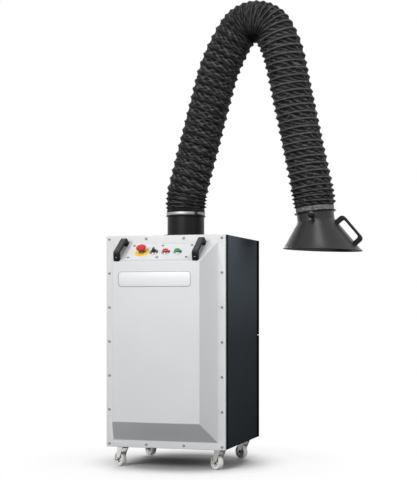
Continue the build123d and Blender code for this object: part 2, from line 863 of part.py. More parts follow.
def cable_gland():
    """Gland for the mains lead: a body outside, a nut inside and the bore."""
    y = rear_y - gland_from_rear
    z = cabinet_base + gland_above_base
    body = round_bar((-panel_outer - gland_length / 2, y, z), (-panel_outer, y, z), gland_radius)
    dome_frame = Plane(origin=(-panel_outer - gland_length / 2, y, z), z_dir=(-1, 0, 0))
    dome = dome_frame * Cone(gland_dome_foot, gland_dome_tip, gland_length / 2,
                             align=(Align.CENTER, Align.CENTER, Align.MIN))
    nut_frame = Plane(origin=(-panel_inner, y, z), z_dir=(1, 0, 0))
    nut = nut_frame * extrude(RegularPolygon(gland_radius, 6), amount=gland_nut_thickness)
    thread = gland_axis_bar(gland_thread_radius - running_gap)
    return body + dome + nut + thread - gland_axis_bar(gland_bore_radius)


def caster_places():
    """Swivel axes of the four casters, by name."""
    x = half_width - caster_inset_x
    front = front_y + caster_inset_front
    rear = rear_y - caster_inset_rear
    return {"front_left": (-x, front), "front_right": (x, front),
            "rear_left": (-x, rear), "rear_right": (x, rear)}


def caster_plates():
    """Top plates with the fixed half of the swivel race."""
    plates = []
    for x, y in caster_places().values():
        top = Plane(origin=(x, y, cabinet_base))
        plate = top * extrude(RectangleRounded(caster_plate_size, caster_plate_size, plate_corner_radius),
                              amount=-caster_plate_thickness)
        race = top * extrude(Circle(race_radius), amount=-caster_plate_thickness - race_height)
        plates.append(plate + race)
    return Compound(children=plates)


def caster_frame(x, y):
    """Frame on the swivel axis at floor level, whose X axis points along the trail."""
    return Pos(x, y, 0) * Rot(0, 0, caster_angle)


def caster_fork(x, y):
    """Pressed fork with tapering cheeks, and the axle bolt with its nut."""
    crown_high = cabinet_base - caster_plate_thickness - race_height - race_gap
    crown_low = crown_high - fork_crown_thickness
    half = wheel_width / 2 + fork_side_gap
    outer = half + fork_sheet
    axle = (caster_trail, wheel_radius)
    boss = Pos(*axle) * Circle(fork_boss_radius)
    body = make_face(Polyline((-fork_top_half, crown_high), (fork_top_half, crown_high),
                              (caster_trail + fork_boss_radius, wheel_radius),
                              (caster_trail - fork_boss_radius, wheel_radius), close=True))
    profile = Plane.XZ * (body + boss)
    fork = extrude(profile, amount=outer, both=True)
    cut_low = -wheel_radius
    fork -= block((-3 * fork_top_half, -half, cut_low), (3 * fork_top_half, half, crown_low))
    hole = round_bar((caster_trail, -2 * outer, wheel_radius), (caster_trail, 2 * outer, wheel_radius),
                     axle_radius + wheel_bore_clearance)
    fork -= hole
    bolt = round_bar((caster_trail, -outer - axle_head_height, wheel_radius),
                     (caster_trail, outer + axle_head_height, wheel_radius), axle_radius)
    for side in (-1, 1):
        y0, y1 = sorted((side * outer, side * (outer + axle_head_height)))
        frame = Plane(origin=(caster_trail, y0, wheel_radius), x_dir=(1, 0, 0), z_dir=(0, 1, 0))
        bolt += frame * extrude(RegularPolygon(axle_head_radius, 6), amount=y1 - y0)
    place = caster_frame(x, y)
    return Compound(children=[place * fork.solid(), place * bolt.solid()])


def caster_wheel(x, y):
    """Nylon wheel with a crowned tread, a thin web and a hub."""
    half = wheel_width / 2
    bore = axle_radius + wheel_bore_clearance
    rim_in = wheel_radius - wheel_rim
    web = wheel_web / 2
    edge = wheel_radius - wheel_crown
    tread = ThreePointArc((edge, -half), (wheel_radius, 0), (edge, half))
    upper = [(edge, half), (rim_in, half), (rim_in - wheel_crown, web),
             (wheel_hub_radius + wheel_crown, web), (wheel_hub_radius, half), (bore, half)]
    lower = [(x, -y) for x, y in reversed(upper)]
    wheel = revolve(make_face(tread + Polyline(*upper, *lower)), Axis.Y)
    return caster_frame(x, y) * Pos(caster_trail, 0, wheel_radius) * wheel


def swivel_ring():
    """Fixed ring on the cabinet top in which the collar turns."""
    frame = Plane(origin=(0, 0, cabinet_top))
    base = ring(frame, swivel_ring_radius, collar_radius + swivel_gap, swivel_ring_height)
    return chamfer(base.edges().group_by(Axis.Z)[-1].sort_by(SortBy.LENGTH)[-1], cover_sheet)


def turret_collar():
    """Tube that turns in the swivel ring and takes the hose, with its bearing flange."""
    low = cabinet_top - collar_tail
    high = cabinet_top + collar_top_above_cabinet
    collar = ring(Plane(origin=(0, 0, low)), collar_radius, collar_radius - collar_wall, high - low)
    flange_z = cabinet_top + swivel_ring_height + running_gap
    flange = Plane(origin=(0, 0, flange_z))
    return collar + ring(flange, turret_flange_radius, collar_radius - collar_wall, turret_flange_thickness)


def turret_retainer():
    """Ring under the cabinet top that keeps the collar in place."""
    low = cabinet_top - retainer_drop - retainer_thickness
    return ring(Plane(origin=(0, 0, low)), retainer_radius, collar_radius, retainer_thickness)


def heading_vector(heading):
    """Direction in the arm's plane, from straight up towards +X, in degrees."""
    angle = math.radians(heading)
    return Vector(math.sin(angle), 0, math.cos(angle))


def side_vector(heading):
    """Direction to the inner side of the bend for a heading."""
    angle = math.radians(heading)
    return Vector(math.cos(angle), 0, -math.sin(angle))


def hose_segments():
    """Centre line as segments: length, radius (0 is straight) and turn in degrees."""
    def bend(radius, angle):
        return (radius * math.radians(angle), radius, angle)
    return [(hose_cuff, 0, 0), bend(lower_bend_radius, lower_bend_angle), (lower_run, 0, 0),
            bend(easy_bend_radius, easy_bend_angle), bend(elbow_radius, elbow_angle),
            bend(over_bend_radius, over_bend_angle), (upper_run, 0, 0),
            bend(hood_bend_radius, hood_bend_angle), (hose_end, 0, 0)]


def hose_point(distance):
    """Point and heading of the hose's centre line at a distance from its start."""
    point = Vector(0, 0, cabinet_top + hose_start_above_cabinet)
    heading = 0
    left = distance
    for length, radius, angle in hose_segments():
        step = min(left, length)
        if radius:
            turned = angle * step / length
            centre = point + side_vector(heading) * radius
            heading += turned
            point = centre - side_vector(heading) * radius
        else:
            point = point + heading_vector(heading) * step
        left -= step
        if left <= 0:
            return point, heading
    return point + heading_vector(heading) * left, heading


def segment_start(index):
    """Distance along the centre line at which a segment starts."""
    return sum(segment[0] for segment in hose_segments()[:index])


hose_length = segment_start(len(hose_segments()))
elbow_start = segment_start(4)
elbow_end = segment_start(5)
upper_end = hose_length - hose_end_cuff
squeeze_start = upper_end - hood_rib_run

# Pivots of the carrying arm
lower_heading = lower_bend_angle
lower_line_point, _ = hose_point(segment_start(2))
back_to_axis = lower_line_point.X / math.sin(math.radians(lower_heading))
shoulder = lower_line_point - heading_vector(lower_heading) * back_to_axis
hose_tip, hood_heading = hose_point(hose_length)
elbow_start_point, elbow_start_heading = hose_point(elbow_start)
elbow_centre = elbow_start_point + side_vector(elbow_start_heading) * elbow_radius
elbow_middle = elbow_start_heading + elbow_angle / 2
elbow = elbow_centre - side_vector(elbow_middle) * elbow_pivot_offset
neck_top = hose_tip
hood_axis = heading_vector(180 - hood_tilt)
hood_across = side_vector(-hood_tilt)
wrist = neck_top - hood_axis * wrist_above_neck
lower_tube_end = shoulder + heading_vector(lower_heading) * lower_tube_length
upper_line_point, _ = hose_point(segment_start(6))
upper_tube_start = wrist + (upper_line_point - wrist).normalized() * upper_tube_length
hood_frame = Plane(origin=neck_top, x_dir=hood_across, z_dir=hood_axis)


def rib_distances():
    """Distances of the valleys between ribs, wide on the runs and close at the elbow and the hood."""
    zones = [(hose_cuff, elbow_start, lower_ribs), (elbow_start, elbow_end, elbow_ribs),
             (elbow_end, squeeze_start, upper_ribs), (squeeze_start, upper_end, hood_ribs)]
    valleys = []
    for start, end, count in zones:
        valleys += [start + (end - start) * i / count for i in range(count)]
    return valleys + [upper_end]


def hose_circle(distance, radius):
    """A circle square to the centre line, always turned the same way."""
    point, heading = hose_point(distance)
    frame = Plane(origin=point, x_dir=(0, 1, 0), z_dir=heading_vector(heading))
    return frame * Circle(radius)


def hose_piece(first_rib, last_rib):
    """Ribbed hose between two valleys, with its bore."""
    valleys = rib_distances()
    start = 0 if first_rib == 0 else valleys[first_rib]
    last = last_rib == len(valleys) - 1
    end = hose_length if last else valleys[last_rib]
    circles = []
    if first_rib == 0:
        cuff_radius = collar_radius + hose_fit_gap + hose_cuff_wall
        circles.append(hose_circle(0, cuff_radius))
        circles.append(hose_circle(hose_cuff_straight, cuff_radius))
    for i in range(first_rib, last_rib):
        circles.append(hose_circle(valleys[i], hose_valley_radius))
        circles.append(hose_circle((valleys[i] + valleys[i + 1]) / 2, hose_crest_radius))
    circles.append(hose_circle(valleys[last_rib], hose_valley_radius))
    if last:
        circles.append(hose_circle(end, hose_valley_radius))
    piece = loft(circles, ruled=True) - hose_bore(start, end)
    if first_rib == 0:
        overlap = collar_top_above_cabinet - hose_start_above_cabinet + hose_fit_gap
        piece -= extrude(hose_circle(0, collar_radius + hose_fit_gap), amount=overlap)
    return piece


def hose_bore(start, end):
    """Smooth bore of the hose between two distances, as a ruled loft with more circles where it bends."""
    stops = []
    total = 0
    for length, radius, angle in hose_segments():
        if radius:
            count = max(1, round(angle / hose_bore_step))
            stops += [total + length * i / count for i in range(count + 1)]
        total += length
    merged = [start]
    for stop in sorted(stops):
        if merged[-1] + hose_bore_least < stop < end - hose_bore_least:
            merged.append(stop)
    merged.append(end)
    first = extrude(hose_circle(start, hose_bore_radius), amount=overrun, both=True)
    last = extrude(hose_circle(end, hose_bore_radius), amount=overrun, both=True)
    return loft([hose_circle(s, hose_bore_radius) for s in merged], ruled=True) + first + last


def hose_clamp():
    """Band that holds the hose's cuff on the collar, with its worm-drive screw housing."""
    inner = collar_radius + hose_fit_gap + hose_cuff_wall + running_gap
    outer = inner + clamp_housing_height
    low = cabinet_top + hose_start_above_cabinet + clamp_above_hose_start
    foot = Plane(origin=(0, 0, low))
    band = ring(foot, inner + clamp_thickness, inner, clamp_width)
    housing = block((-clamp_width, -outer, low),
                    (clamp_width, -inner + clamp_housing_height, low + clamp_width))
    housing &= ring(foot, outer, inner, clamp_width)
    return band + Rot(0, 0, clamp_angle) * housing


def link_plate(start, end, radius, near, far):
    """Plate with round ends between two pivots, from one Y to another."""
    middle = (start + end) / 2
    span = end - start
    angle = math.degrees(math.atan2(span.Z, span.X))
    face = Pos(middle.X, middle.Z) * Rot(0, 0, angle) * SlotCenterToCenter(span.length, 2 * radius)
    return Plane.XZ.offset(-far) * extrude(face, amount=far - near)


def pivot_hole(centre, radius):
    """A round bar along Y through a pivot."""
    reach = lug_thickness / 2 + washer_thickness + fork_plate + overrun
    return round_bar((centre.X, -reach, centre.Z), (centre.X, reach, centre.Z), radius)


def fork_inner():
    """Distance from the middle plane to the inside of a fork plate."""
    return lug_thickness / 2 + washer_thickness + 2 * washer_gap


def fork_plates(start, end, radius):
    """A pair of plates on both sides of a lug."""
    near = fork_inner()
    far = near + fork_plate
    return link_plate(start, end, radius, near, far) + link_plate(start, end, radius, -far, -near)


def pivot_bolt(centre):
    """Pivot bolt with a head and a nut outside the fork plates."""
    reach = fork_inner() + fork_plate
    bolt = round_bar((centre.X, -reach, centre.Z), (centre.X, reach, centre.Z), pivot_radius)
    for side in (-1, 1):
        y0, y1 = sorted((side * reach, side * (reach + pivot_head_height)))
        frame = Plane(origin=(centre.X, y0, centre.Z), x_dir=(1, 0, 0), z_dir=(0, 1, 0))
        bolt += frame * extrude(RegularPolygon(pivot_head_radius, 6), amount=y1 - y0)
    return bolt


def friction_washers(centre):
    """A friction washer on each side of the lug."""
    washers = []
    for side in (-1, 1):
        near = lug_thickness / 2 + washer_gap
        y0, y1 = sorted((side * near, side * (near + washer_thickness)))
        frame = Plane(origin=(centre.X, y0, centre.Z), x_dir=(1, 0, 0), z_dir=(0, 1, 0))
        washers.append(ring(frame, washer_radius, pivot_radius + pivot_clearance, y1 - y0))
    return washers


def pivot_set(centre):
    """The bolt of a pivot and its two friction washers."""
    return Compound(children=[pivot_bolt(centre)] + friction_washers(centre))


def shoulder_bracket():
    """Bar across the collar with two cheeks that carry the shoulder pivot."""
    low = shoulder.Z - bracket_drop
    inner = collar_radius - collar_wall
    bar = block((-inner, -bracket_width / 2, low), (inner, bracket_width / 2, low + bracket_thickness))
    bar &= Pos(0, 0, low) * Cylinder(inner, 2 * bracket_width)
    foot = Vector(0, 0, low + lug_radius)
    cheeks = fork_plates(foot, shoulder, lug_radius)
    bracket = bar + cheeks
    return bracket - pivot_hole(shoulder, pivot_radius)


def arm_tube(start, end):
    """Round carrying tube between two points."""
    axis = end - start
    frame = Plane(origin=start, z_dir=axis.normalized())
    return ring(frame, arm_tube_radius, arm_tube_radius - arm_tube_wall, axis.length)


def lower_arm():
    """Lower carrying tube with a lug at the shoulder and a cranked fork to the elbow."""
    along = (lower_tube_end - shoulder).normalized()
    half = lug_thickness / 2
    arm = arm_tube(shoulder + along * tube_start, lower_tube_end)
    lug = link_plate(shoulder, shoulder + along * (tube_start + lug_radius), lug_end_radius, -half, half)
    arm += lug - pivot_hole(shoulder, pivot_radius + pivot_clearance)
    fork = fork_plates(lower_tube_end - along * lug_radius, elbow, lug_radius)
    arm += fork - pivot_hole(elbow, pivot_radius)
    end = lower_tube_end - along * lug_radius
    arm += link_plate(end, lower_tube_end, link_end_radius, -fork_inner(), fork_inner())
    return arm


def upper_arm():
    """Upper carrying tube with a cranked lug at the elbow and a lug at the wrist."""
    along = (wrist - upper_tube_start).normalized()
    half = lug_thickness / 2
    arm = arm_tube(upper_tube_start, wrist - along * tube_start)
    crank = link_plate(elbow, upper_tube_start + along * lug_radius, lug_end_radius, -half, half)
    arm += crank - pivot_hole(elbow, pivot_radius + pivot_clearance)
    lug = link_plate(wrist - along * (tube_start + lug_radius), wrist, lug_end_radius, -half, half)
    return arm + (lug - pivot_hole(wrist, pivot_radius + pivot_clearance))


def hood_point(depth, radius=0):
    """A point in the hood's middle plane, by depth along its axis and by radius."""
    point = hood_frame.from_local_coords((radius, 0, depth))
    return Vector(point.X, point.Y, point.Z)


def wrist_link():
    """Fork at the wrist with a block and the stud on which the hood swivels."""
    block_low = spider_depth - spider_thickness - swivel_head_height - running_gap
    block_high = block_low - lug_thickness
    cheeks = fork_plates(wrist, hood_point(block_high), link_end_radius) - pivot_hole(wrist, pivot_radius)
    half = fork_inner() + fork_plate
    cheeks -= hood_frame.offset(block_low) * extrude(Circle(3 * half), amount=3 * half)
    block_face = Rectangle(2 * half, 2 * half)
    link = cheeks + hood_frame.offset(block_high) * extrude(block_face, amount=block_low - block_high)
    head_low = spider_depth + swivel_head_height + running_gap
    stud = Circle(swivel_stud_radius)
    link += hood_frame.offset(block_low) * extrude(stud, amount=head_low - block_low)
    head = Circle(swivel_head_radius)
    return link + hood_frame.offset(head_low) * extrude(head, amount=swivel_head_height)


def hood_spider():
    """Bar across the hood's neck with the bush for the swivel stud."""
    inner = neck_radius - hood_wall
    top = spider_depth - spider_thickness
    bar = Rectangle(2 * inner, spider_width) & Circle(inner)
    spider = hood_frame.offset(top) * extrude(bar, amount=spider_thickness)
    bush_top = top - swivel_head_height
    bush = Circle(bush_radius)
    spider += hood_frame.offset(bush_top) * extrude(bush, amount=spider_thickness + 2 * swivel_head_height)
    bore = Circle(swivel_stud_radius + swivel_stud_clearance)
    return spider - hood_frame.offset(bush_top - overrun) * extrude(bore, amount=4 * bush_radius)


def hood_body(inset, grow=0):
    """Solid of revolution of neck and cone in the hood's own frame, longer than the real cone."""
    slope_tan = math.tan(math.radians(hood_cone_angle))
    side = (inset - grow) / math.cos(math.radians(hood_cone_angle))
    neck = neck_radius - inset + grow
    start = neck_length + (side - (inset - grow)) / slope_tan
    end = rim_right_depth + neck_length
    outline = Polyline((0, -neck_up), (neck, -neck_up), (neck, start),
                       (neck_radius - side + slope_tan * (end - neck_length), end), (0, end), close=True)
    return revolve(Plane.XZ * make_face(outline), Axis.Z)


def rim_plane():
    """Oblique plane of the hood's mouth in the hood's own frame, its normal pointing out."""
    left = Vector(-rim_left_radius, 0, rim_left_depth)
    right = Vector(rim_right_radius, 0, rim_right_depth)
    along = (right - left).normalized()
    return Plane(origin=(left + right) / 2, x_dir=along, z_dir=along.cross(Vector(0, 1, 0)))


def beyond_rim(offset):
    """Everything past the mouth's plane."""
    reach = 2 * rim_right_radius
    return rim_plane().offset(offset) * extrude(Rectangle(2 * reach, 2 * reach), amount=reach)


def hood_shell():
    """Spun hood: neck, cone, oblique mouth with a rolled bead and the boss for the damper shaft."""
    outer = hood_body(0)
    bead = hood_body(0, rim_bead) - beyond_rim(0)
    bead &= beyond_rim(-rim_bead_width)
    hood = outer - beyond_rim(0) + bead
    hood -= hood_body(hood_wall) + Pos(0, 0, -neck_up) * Cylinder(neck_radius - hood_wall, 2 * overrun)
    boss_frame = Plane(origin=(0, neck_radius - hood_wall / 2, damper_depth), z_dir=(0, 1, 0))
    hood += boss_frame * extrude(Circle(damper_boss_radius), amount=damper_knob_gap)
    hole = damper_shaft_radius + damper_shaft_clearance
    hood -= round_bar((0, neck_radius / 2, damper_depth), (0, neck_radius + 2 * overrun, damper_depth), hole)
    return hood_frame * hood


def hood_ring():
    """Round bead ring on the neck against which the hose ends."""
    inner = neck_radius + running_gap
    half = ring_height / 2
    outline = make_face(Polyline((inner, 0), (ring_radius - half, 0), (ring_radius, half),
                                 (ring_radius - half, ring_height), (inner, ring_height), close=True))
    return hood_frame * revolve(Plane.XZ * outline, Axis.Z)


def slant_frame():
    """Frame on the outside of the cone: X along the slant, Y outward, Z across."""
    angle = math.radians(hood_cone_angle)
    along = Vector(math.sin(angle), 0, math.cos(angle))
    return Plane(origin=(neck_radius, 0, neck_length), x_dir=along, z_dir=(0, 1, 0))


def hood_handle():
    """Bow handle on the outside of the cone."""
    frame = slant_frame()
    outward = -1 if frame.y_dir.X < 0 else 1
    sink = hood_handle_bar / 2
    height = hood_handle_reach + sink
    middle = hood_handle_from + hood_handle_length / 2
    face = RectangleRounded(hood_handle_length, height, hood_handle_corner)
    face = Pos(middle, outward * (height / 2 - sink)) * face
    square = Pos(middle, 0) * Rectangle(hood_handle_length, 2 * sink)
    window_length = hood_handle_length - 2 * hood_handle_leg
    window_height = hood_handle_reach - hood_handle_bar + sink
    window = RectangleRounded(window_length, window_height, hood_handle_window_corner)
    window = Pos(middle, outward * (window_height / 2 - sink)) * window
    window += Pos(middle, -outward * sink) * Rectangle(window_length, hood_handle_bar)
    handle = frame * extrude(face + square - window, amount=hood_handle_width / 2, both=True)
    handle -= hood_body(0, contact_gap)
    return hood_frame * handle


def damper_knob_low():
    """Distance from the hood's axis to the underside of the damper knob."""
    return neck_radius - hood_wall / 2 + damper_knob_gap + running_gap


def damper_flap():
    """Butterfly plate in the neck, open, with a notch that clears the swivel, and its shaft."""
    radius = neck_radius - hood_wall - damper_gap
    notch = 2 * (math.hypot(link_end_radius, fork_inner() + fork_plate) + damper_gap)
    face = Circle(radius) - Pos(0, radius) * Rectangle(notch, 2 * radius - 4 * damper_shaft_radius)
    frame = Plane(origin=(0, 0, damper_depth), x_dir=(0, 1, 0), z_dir=(-1, 0, 0))
    plate = extrude(face, amount=damper_plate / 2, both=True)
    if frame.y_dir.Z > 0:
        plate = Rot(0, 0, 180) * plate
    flap = frame * plate
    end = damper_knob_low() + damper_knob_height / 2
    flap += round_bar((0, -radius, damper_depth), (0, end, damper_depth), damper_shaft_radius)
    return hood_frame * flap


def damper_knob():
    """Domed knob on the damper shaft, outside the neck."""
    knob = domed_head(0, damper_knob_height, damper_knob_radius)
    knob -= extrude(Circle(damper_shaft_radius), amount=damper_knob_height / 2)
    frame = Plane(origin=(0, damper_knob_low(), damper_depth), z_dir=(0, 1, 0))
    return hood_frame * (frame * knob)


def cover_screws():
    """Screws round the cover."""
    screws = []
    for x, z in cover_screw_places():
        frame = Plane(origin=(x, front_y, z), z_dir=(0, -1, 0))
        screws.append(pan_head_screw(frame, screw_length))
    return screws


def plate_screws():
    """Screws of the control plate."""
    length = plate_thickness + cover_sheet + overrun
    return [pan_head_screw(plate_face * Pos(x, y), length) for x, y in plate_screw_places()]


def build_cabinet():
    save("front_cover", front_cover())
    save("cover_frame", cover_frame())
    save("left_side_panel", side_panel(-1))
    save("right_side_panel", side_panel(1))
    save("top_panel", top_panel())
    save("base_tray", base_tray())
    save("chamber_shelf", chamber_shelf())
    save("left_handle", bridge_handle(-1))
    save("right_handle", bridge_handle(1))


def build_controls():
    save("control_plate", control_plate())
    save("pan_head_screws", Compound(children=cover_screws() + plate_screws()))
    save("estop_disc", estop_disc())
    save("estop_body", estop_body())
    save("estop_button", estop_button())
    save("switch_bodies", Compound(children=[switch_body(x) for x in (selector_x, stop_x, start_x)]))
    save("selector_knob", selector_knob())
    save("stop_button", push_button(stop_x))
    save("start_button", push_button(start_x))
    save("contact_blocks", contact_blocks())


def build_doors():
    lower = (cabinet_base, shelf_z - door_gap / 2)
    upper = (shelf_z + door_gap / 2, cabinet_top)
    fixed = []
    for name, (low, high) in (("lower", lower), ("upper", upper)):
        save(f"{name}_rear_door", rear_door(low, high, name == "lower"))
        save(f"{name}_door_lock", door_lock(low, high))
        places = door_hinge_places(low, high)
        save(f"{name}_door_hinges", Compound(children=[hinge_half(z, 1).solid() for z in places]))
        fixed += [hinge_half(z, -1).solid() for z in places]
        fixed += [hinge_pin(z).solid() for z in places]
    save("hinge_posts", Compound(children=fixed))


def build_insides():
    save("main_filter", Compound(children=[filter_frame(), filter_pleats(), filter_gasket()]))
    save("spark_screen", spark_screen())
    save("fan_scroll", fan_scroll())
    save("fan_impeller", Compound(children=[fan_impeller(), fan_shaft()]))
    save("fan_motor", fan_motor())
    save("electrics_box", electrics_box())
    save("cable_gland", cable_gland())


def build_casters():
    save("caster_plates", caster_plates())
    for name, (x, y) in caster_places().items():
        save(f"{name}_caster_fork", caster_fork(x, y))
        save(f"{name}_caster_wheel", caster_wheel(x, y))


def build_arm():
    save("swivel_ring", swivel_ring())
    save("turret_collar", Compound(children=[turret_collar(), turret_retainer()]))
    save("shoulder_bracket", shoulder_bracket())
    save("shoulder_pivot", pivot_set(shoulder))
    save("lower_arm", lower_arm())
    save("elbow_pivot", pivot_set(elbow))
    save("upper_arm", upper_arm())
    save("wrist_pivot", pivot_set(wrist))
    save("wrist_link", wrist_link())
    save("hose_clamp", hose_clamp())


def build_hose():
    total = len(rib_distances()) - 1
    last = total - upper_piece_ribs
    save("hose_lower", hose_piece(0, lower_piece_ribs))
    save("hose_middle", hose_piece(lower_piece_ribs, last))
    save("hose_upper", hose_piece(last, total))


def build_hood():
    save("hood", hood_shell() + hood_spider())
    save("hood_ring", hood_ring())
    save("hood_handle", hood_handle())
    save("damper_flap", damper_flap())
    save("damper_knob", damper_knob())


def main():
    os.makedirs("parts", exist_ok=True)
    print("hose length", round(hose_length), "shoulder", shoulder, "elbow", elbow)
    print("wrist", wrist, "tip", hose_tip)
    build_cabinet()
    build_controls()
    build_doors()
    build_insides()
    build_casters()
    build_arm()
    build_hose()
    build_hood()


if __name__ == "__main__":
    main()
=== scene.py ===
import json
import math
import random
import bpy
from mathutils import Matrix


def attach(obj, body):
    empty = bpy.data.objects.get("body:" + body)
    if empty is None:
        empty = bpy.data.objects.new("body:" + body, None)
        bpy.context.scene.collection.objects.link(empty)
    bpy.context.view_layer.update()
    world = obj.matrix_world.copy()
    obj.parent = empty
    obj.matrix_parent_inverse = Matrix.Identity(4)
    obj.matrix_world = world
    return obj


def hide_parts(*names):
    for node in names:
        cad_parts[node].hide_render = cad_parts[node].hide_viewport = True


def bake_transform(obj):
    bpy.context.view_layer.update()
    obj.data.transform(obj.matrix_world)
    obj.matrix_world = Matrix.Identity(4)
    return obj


bl_info = {
    "name": "Mobile Welding Fume Extractor",
    "version": (1, 0, 0),
    "blender": (4, 5, 0),
    "location": "View3D > Sidebar > Extractor",
    "description": "Dresses the packed fume extractor with its hose, hood, cover, controls and finishes",
    "category": "Object",
}

import bmesh
import bpy
from bpy.props import FloatProperty, FloatVectorProperty, IntProperty, PointerProperty
from mathutils import Matrix, Vector, noise

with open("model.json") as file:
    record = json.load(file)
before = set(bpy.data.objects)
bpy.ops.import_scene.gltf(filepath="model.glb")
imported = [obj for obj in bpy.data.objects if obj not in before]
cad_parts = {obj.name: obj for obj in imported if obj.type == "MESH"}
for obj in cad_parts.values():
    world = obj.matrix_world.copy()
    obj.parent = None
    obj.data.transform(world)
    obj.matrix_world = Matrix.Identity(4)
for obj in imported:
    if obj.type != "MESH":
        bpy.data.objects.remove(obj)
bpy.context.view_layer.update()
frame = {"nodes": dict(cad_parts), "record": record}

RIGHT = Vector((1, 0, 0))
FRONT = Vector((0, -1, 0))
UP = Vector((0, 0, 1))
WHITE = (1, 1, 1, 1)

# The photo's camera: place in metres, turn in degrees, and pixels of the photo
camera_place = (1.5806, -4.9468, 0.6798)
camera_turn = 16.65
photo_height = 480
focal_length = 1210.36
horizon_shift = 63.56
sensor_height = 36
far_end = 60

# Lamps: place, target, width and height in metres
LAMPS = {
    "key": ((0.65, -1.31, 3.9), (0.3, 0, 1.0), 0.9, 0.9),
    "side": ((3.0, -0.9, 1.05), (0.25, -0.2, 1.15), 1.8, 1.2),
    "front": ((-1.5, -6.8, 3.6), (0, -0.3, 0.1), 4.4, 2.0),
    "back": ((-1.2, 5.6, 3.2), (0, 0.3, 0.6), 3.0, 1.6),
}
side_spread = math.radians(110)
floor_half = 14

# Cover: half width, bottom, top and front of each ring of its sheet, from the lip to the raised middle
flange_front = -0.280
middle_front = -0.401
cover_rings = (
    (0.2550, 0.090, 0.958, -0.268),
    (0.2550, 0.090, 0.958, flange_front),
    (0.2250, 0.120, 0.928, flange_front),
    (0.1835, 0.205, 0.847, middle_front),
)
bare_plate_middle = Vector((-0.0045, middle_front, 0.7775))
bare_plate_half = (0.1535, 0.0318)
bare_plate_corner = 0.017

# Frame of the cover's top slope, which carries the plate, the controls and the handles
slope_middle = Vector((0, -0.3405, 0.8875))
slope_up = Vector((0, 0.8310, 0.5563))
slope_out = Vector((0, -0.5563, 0.8310))
plate_thickness = 0.002
window_half = (0.113, 0.036)
plate_screws = (0.123, 0.045)
control_row = -0.005
estop_across, selector_across, stop_across, start_across = -0.075, -0.025, 0.025, 0.075
handle_across = 0.165
handle_screw_up = 0.0646
handle_screw_out = 0.0160

# Screws: radius, height and length
cover_screw = (0.0054, 0.0028, 0.009)
handle_screw = (0.0042, 0.0022, 0.002)

# Handles of moulded plastic: half width and edge radius
handle_half = 0.012
handle_edge = 0.0034

# Hose centre line: run length or bend radius, and turn in degrees
hose_foot = 1.055
hose_runs = (
    (0.028, 0, 0),
    (0, 0.400, 15.2),
    (0.438, 0, 0),
    (0, 0.725, 19),
    (0, 0.0935, 115),
    (0, 0.413, 18.8),
    (0.552, 0, 0),
    (0, 0.600, 6),
    (0.034, 0, 0),
)

# Hose: its cuffs and its socket on the collar, its stretches of ribs, and stretches round the arm's joints
hose_cuff = 0.028
hose_cuff_radius = 0.0814
hose_end_cuff = 0.020
squeezed_run = 0.080
foot_run = 0.072
rib_counts = (4, 20, 12, 22, 4)
lower_ribs = 15
upper_ribs = 17
socket_depth = 0.0135
socket_radius = 0.0794
fade_run = 0.008
elbow_blend = 0.03
widening_run = 0.15
foot_rings = 4
cuff_rings = 8
shoulder_bend = (0.020, 0.260)
elbow_reach = 0.10
wrist_reach = 0.17

# Band clamp at the hose's foot, with its worm's housing and strap end, and the lip of the cuff
clamp_height = 1.0625
clamp_inner = 0.0817
clamp_outer = 0.0830
clamp_half = 0.006
housing_turn = math.radians(-27)
housing_radius = 0.0828
strap_turns = (math.radians(-46), math.radians(-36))
lip_height = 1.0532
lip_tilt = math.radians(0.8)

# Hood, in its own frame: radius and depth along its axis
hood_tip = Vector((0.563851, 0, 1.06191))
hood_down = Vector((0.104528, 0, -0.994522))
hood_across = Vector((0.994522, 0, 0.104528))
neck_top = -0.015
neck_radius = 0.077
neck_length = 0.0375
neck_wall = 0.0016
neck_inner = neck_radius - neck_wall
neck_middle = neck_radius - neck_wall / 2
cone_bend = 0.005
cone_slope = math.tan(math.radians(34.3))
rim_left = Vector((-0.1475, 0.1408))
rim_right = Vector((0.1783, 0.1860))
rim_bead = 0.0026
damper_depth = 0.019
knob_gap = 0.008

# Casters: the axle's direction, the wheel's trail and radius, and the swivel axes
wheel_axle = Vector((-0.551937, -0.833886, 0))
wheel_across = Vector((-0.833886, 0.551937, 0))
wheel_trail = 0.019
wheel_radius = 0.030
caster_axes = {
    "front_left": (-0.211, -0.202),
    "front_right": (0.211, -0.202),
    "rear_left": (-0.211, 0.181),
    "rear_right": (0.211, 0.181),
}


def axes_frame(origin, across, up, out):
    """Matrix whose columns are three axes and an origin."""
    matrix = Matrix((across, up, out)).transposed().to_4x4()
    matrix.translation = origin
    return matrix


def slope_frame(across, up, out=0.0):
    """Frame on the top slope, out along its normal."""
    origin = slope_middle + RIGHT * across + slope_up * up + slope_out * out
    return axes_frame(origin, RIGHT, slope_up, slope_out)


def control_frame(across):
    """Frame of a control on the control plate."""
    return slope_frame(across, control_row, plate_thickness)


hood_frame = axes_frame(hood_tip, hood_across, hood_down.cross(hood_across), hood_down)
damper_frame = axes_frame(hood_tip + hood_down * damper_depth, hood_across, FRONT.cross(hood_across), FRONT)


class Value:
    """A number socket that takes part in Python arithmetic."""

    def __init__(self, nodes, socket):
        self.nodes = nodes
        self.socket = socket

    def maths(self, operation, *others, **settings):
        values = dict(enumerate((self,) + others))
        node = self.nodes.node("ShaderNodeMath", values, operation=operation, **settings)
        return Value(self.nodes, node.outputs[0])

    def __add__(self, other):
        return self.maths("ADD", other)

    def __mul__(self, other):
        return self.maths("MULTIPLY", other)

    def __rsub__(self, other):
        return (self * -1) + other

    def __pow__(self, other):
        return self.maths("POWER", other)

    __radd__ = __add__
    __rmul__ = __mul__

    def clamped(self):
        return self.maths("ADD", 0.0, use_clamp=True)


